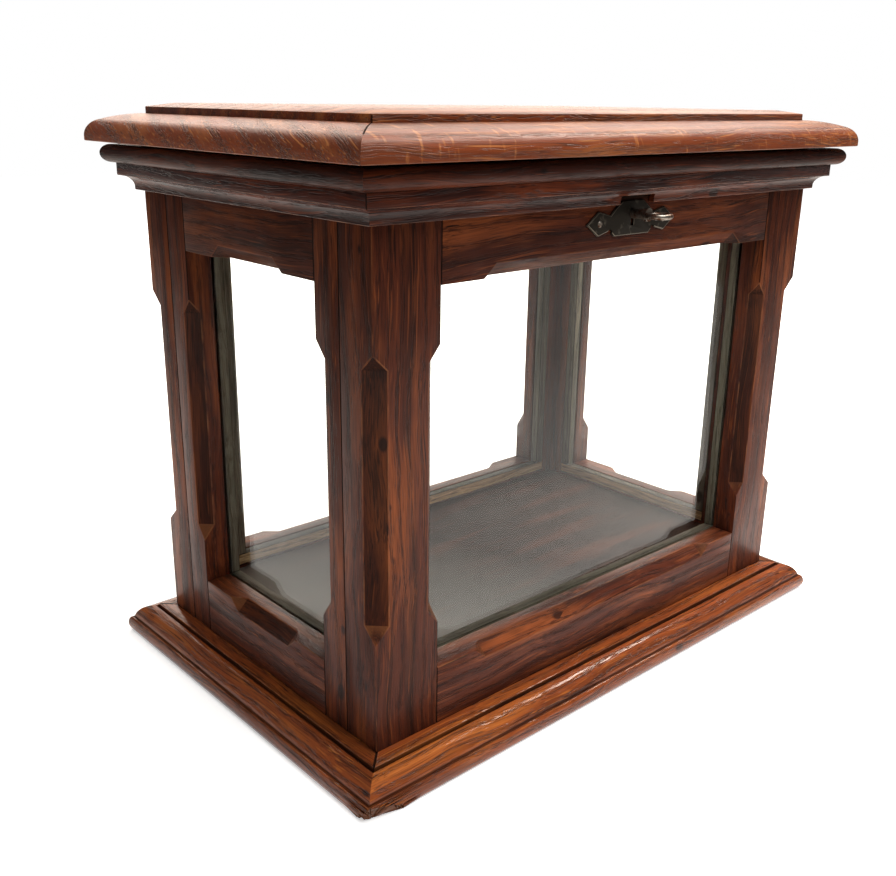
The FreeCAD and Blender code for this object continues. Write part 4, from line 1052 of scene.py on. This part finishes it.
class SetStage(bpy.types.Operator):
    """Adds the pale floor, the soft light and the photograph's camera"""

    bl_idname = "display_case.set_stage"
    bl_label = "Stage"

    def execute(self, context):
        stage = context.scene.display_case.stage
        context.scene.view_settings.view_transform = "Standard"
        self.lay_floor(stage)
        self.light_room(context.scene, stage)
        self.hang_light("window_light", stage.window_power, WINDOW_PLACE, WINDOW_WIDTH, stage.window_colour)
        self.hang_light(
            "ceiling_light", stage.ceiling_power, CEILING_PLACE, CEILING_WIDTH, stage.ceiling_colour
        )
        self.hang_light("side_light", stage.side_power, SIDE_PLACE, SIDE_WIDTH, stage.window_colour)
        self.set_camera(context.scene, stage)
        return {"FINISHED"}

    def seen(self, tree, mirrored=0.0):
        """1 for what the eye sees, through the panes too, mirrored for what it sees mirrored, and else 0."""
        path = add_node(tree, "ShaderNodeLightPath").outputs
        shown = add_node(
            tree,
            "ShaderNodeMath",
            {0: path["Is Camera Ray"], 1: path["Is Transmission Ray"]},
            operation="MAXIMUM",
        )
        sheen = add_node(
            tree, "ShaderNodeMath", {0: path["Is Glossy Ray"], 1: mirrored}, operation="MULTIPLY"
        )
        either = add_node(
            tree, "ShaderNodeMath", {0: shown.outputs[0], 1: sheen.outputs[0]}, operation="MAXIMUM"
        )
        # Light that a matt surface has scattered is not seen, even if it then comes through a pane
        unscattered = add_node(
            tree, "ShaderNodeMath", {0: path["Diffuse Depth"], 1: 0.5}, operation="LESS_THAN"
        )
        return add_node(
            tree, "ShaderNodeMath", {0: either.outputs[0], 1: unscattered.outputs[0]}, operation="MULTIPLY"
        ).outputs[0]

    def floor_paper(self, stage):
        """Pale matt paper that keeps the case's shadow and runs out into white."""
        material, tree = new_material("pale_floor_paper")
        place = add_node(tree, "ShaderNodeTexCoord").outputs["Object"]
        mottle = add_node(tree, "ShaderNodeTexNoise", {"Vector": place, "Scale": 1 / MOTTLE, "Detail": 4.0})
        roughness = add_node(
            tree, "ShaderNodeMapRange", {"Value": mottle.outputs["Fac"], "To Min": 0.75, "To Max": 0.95}
        )
        # To the front right the room is dim, which shows only where the case mirrors it
        ahead = add_node(tree, "ShaderNodeVectorMath", {0: place, 1: DIM_SIDE}, operation="DOT_PRODUCT")
        dim = add_node(
            tree,
            "ShaderNodeMapRange",
            {
                "Value": ahead.outputs["Value"],
                "From Min": DIM_START,
                "From Max": DIM_FULL,
                "To Max": DIM_SHARE,
            },
        )
        mirrored = add_node(tree, "ShaderNodeLightPath").outputs["Is Glossy Ray"]
        dark = add_node(tree, "ShaderNodeMath", {0: dim.outputs["Result"], 1: mirrored}, operation="MULTIPLY")
        tone = add_node(
            tree,
            "ShaderNodeMix",
            {0: dark.outputs[0], MIX_A: rgba(stage.floor_colour), MIX_B: BLACK},
            data_type="RGBA",
        )
        paper = add_node(
            tree,
            "ShaderNodeBsdfPrincipled",
            {
                "Base Color": tone.outputs[MIX_RESULT],
                "Roughness": roughness.outputs["Result"],
                "Specular IOR Level": 0.1,
            },
        )
        away = add_node(tree, "ShaderNodeVectorMath", {0: place}, operation="LENGTH").outputs["Value"]
        fade = add_node(
            tree,
            "ShaderNodeMapRange",
            {
                "Value": away,
                "From Min": GLOW_START,
                "From Max": GLOW_FULL,
                "To Min": GLOW_LEAST,
                "To Max": 1.0,
            },
        )
        near = add_node(
            tree,
            "ShaderNodeMapRange",
            {
                "Value": away,
                "From Min": GLOW_START,
                "From Max": SHEEN_END,
                "To Min": stage.floor_sheen,
                "To Max": 0.0,
            },
        )
        shown = self.seen(tree, near.outputs["Result"])
        lift = add_node(tree, "ShaderNodeMath", {0: shown, 1: fade.outputs["Result"]}, operation="MULTIPLY")
        glow = add_node(tree, "ShaderNodeEmission", {"Color": WHITE, "Strength": lift.outputs[0]})
        surface = add_node(
            tree, "ShaderNodeAddShader", {0: paper.outputs["BSDF"], 1: glow.outputs["Emission"]}
        )
        show(tree, surface.outputs["Shader"])
        return material

    def lay_floor(self, stage):
        """A wide pale board under the case."""
        bpy.ops.object.select_all(action="DESELECT")
        bpy.ops.mesh.primitive_plane_add(size=stage.floor_size, location=(0, 0, -FLOOR_DROP))
        floor = bpy.context.object
        floor.name = "pale_floor"
        bpy.ops.object.mode_set(mode="EDIT")
        bpy.ops.mesh.extrude_region_move(TRANSFORM_OT_translate={"value": (0, 0, -FLOOR_THICKNESS)})
        bpy.ops.mesh.select_all(action="SELECT")
        bpy.ops.mesh.normals_make_consistent(inside=False)
        bpy.ops.object.mode_set(mode="OBJECT")
        bpy.ops.object.transform_apply(location=True, rotation=True, scale=True)
        floor.data.materials.append(self.floor_paper(stage))

    def light_room(self, scene, stage):
        """Even dim light, in a room that is white to the eye."""
        world = bpy.data.worlds.new("white_room")
        world.use_nodes = True
        tree = world.node_tree
        tree.nodes.clear()
        strength = add_node(
            tree, "ShaderNodeMapRange", {"Value": self.seen(tree), "To Min": stage.room_light, "To Max": 1.0}
        )
        room = add_node(
            tree, "ShaderNodeBackground", {"Color": WHITE, "Strength": strength.outputs["Result"]}
        )
        add_node(tree, "ShaderNodeOutputWorld", {"Surface": room.outputs["Background"]})
        scene.world = world

    def hang_light(self, name, power, place, width, colour):
        """A square soft light turned to the middle of the case."""
        lamp = bpy.data.lights.new(name, "AREA")
        lamp.color = colour
        lamp.energy = power
        lamp.size = width
        light = bpy.data.objects.new(name, lamp)
        light.location = place
        middle = (CAD_BOX[0][2] + CAD_BOX[1][2]) / 2
        aim = Vector((0, 0, middle)) - light.location
        light.rotation_euler = aim.to_track_quat("-Z", "Y").to_euler()
        bpy.context.scene.collection.objects.link(light)

    def set_camera(self, scene, stage):
        """The camera that took the photograph, as far as its edges tell."""
        lens = bpy.data.cameras.new("photograph_camera")
        lens.sensor_fit = "HORIZONTAL"
        lens.lens = stage.focal_pixels / PHOTO_WIDTH * lens.sensor_width
        lens.clip_start = NEAREST_SEEN
        camera = bpy.data.objects.new("photograph_camera", lens)
        heading = Matrix.Rotation(-stage.camera_yaw, 4, "Z")
        tilt = Matrix.Rotation(math.pi / 2 - stage.camera_pitch, 4, "X")
        roll = Matrix.Rotation(stage.camera_roll, 4, "Z")
        camera.matrix_world = Matrix.Translation(stage.camera_place) @ heading @ tilt @ roll
        scene.collection.objects.link(camera)
        scene.camera = camera


class DisplayCase(bpy.types.PropertyGroup):
    """All that a user may change"""

    oak: bpy.props.PointerProperty(type=OakColours, name="Oak", description="Colours of the oak")
    fittings: bpy.props.PointerProperty(type=FittingColours, name="Fittings", description="Metals and glass")
    sizes: bpy.props.PointerProperty(type=CaseSizes, name="Sizes", description="Sizes of the wear")
    stage: bpy.props.PointerProperty(type=StageSettings, name="Stage", description="Camera, light and floor")


OPERATORS = (
    DressFrames,
    DressMouldings,
    DressBase,
    DressLid,
    DressInside,
    GlazePanes,
    DressFittings,
    DressLockPlate,
    DressKey,
    SetStage,
)


class DisplayCasePanel(bpy.types.Panel):
    """Lists the steps that dress the display case"""

    bl_idname = "VIEW3D_PT_display_case"
    bl_label = "Display Case"
    bl_space_type = "VIEW_3D"
    bl_region_type = "UI"
    bl_category = "Display Case"

    def draw(self, context):
        for operator in OPERATORS:
            self.layout.operator(operator.bl_idname)


CLASSES = (OakColours, FittingColours, CaseSizes, StageSettings, DisplayCase, *OPERATORS, DisplayCasePanel)


def register():
    for kind in CLASSES:
        bpy.utils.register_class(kind)
    bpy.types.Scene.display_case = bpy.props.PointerProperty(type=DisplayCase)


def unregister():
    del bpy.types.Scene.display_case
    for kind in reversed(CLASSES):
        bpy.utils.unregister_class(kind)


def main():
    register()
    for operator in OPERATORS:
        family, step = operator.bl_idname.split(".")
        getattr(getattr(bpy.ops, family), step)()


if __name__ == "__main__":
    main()
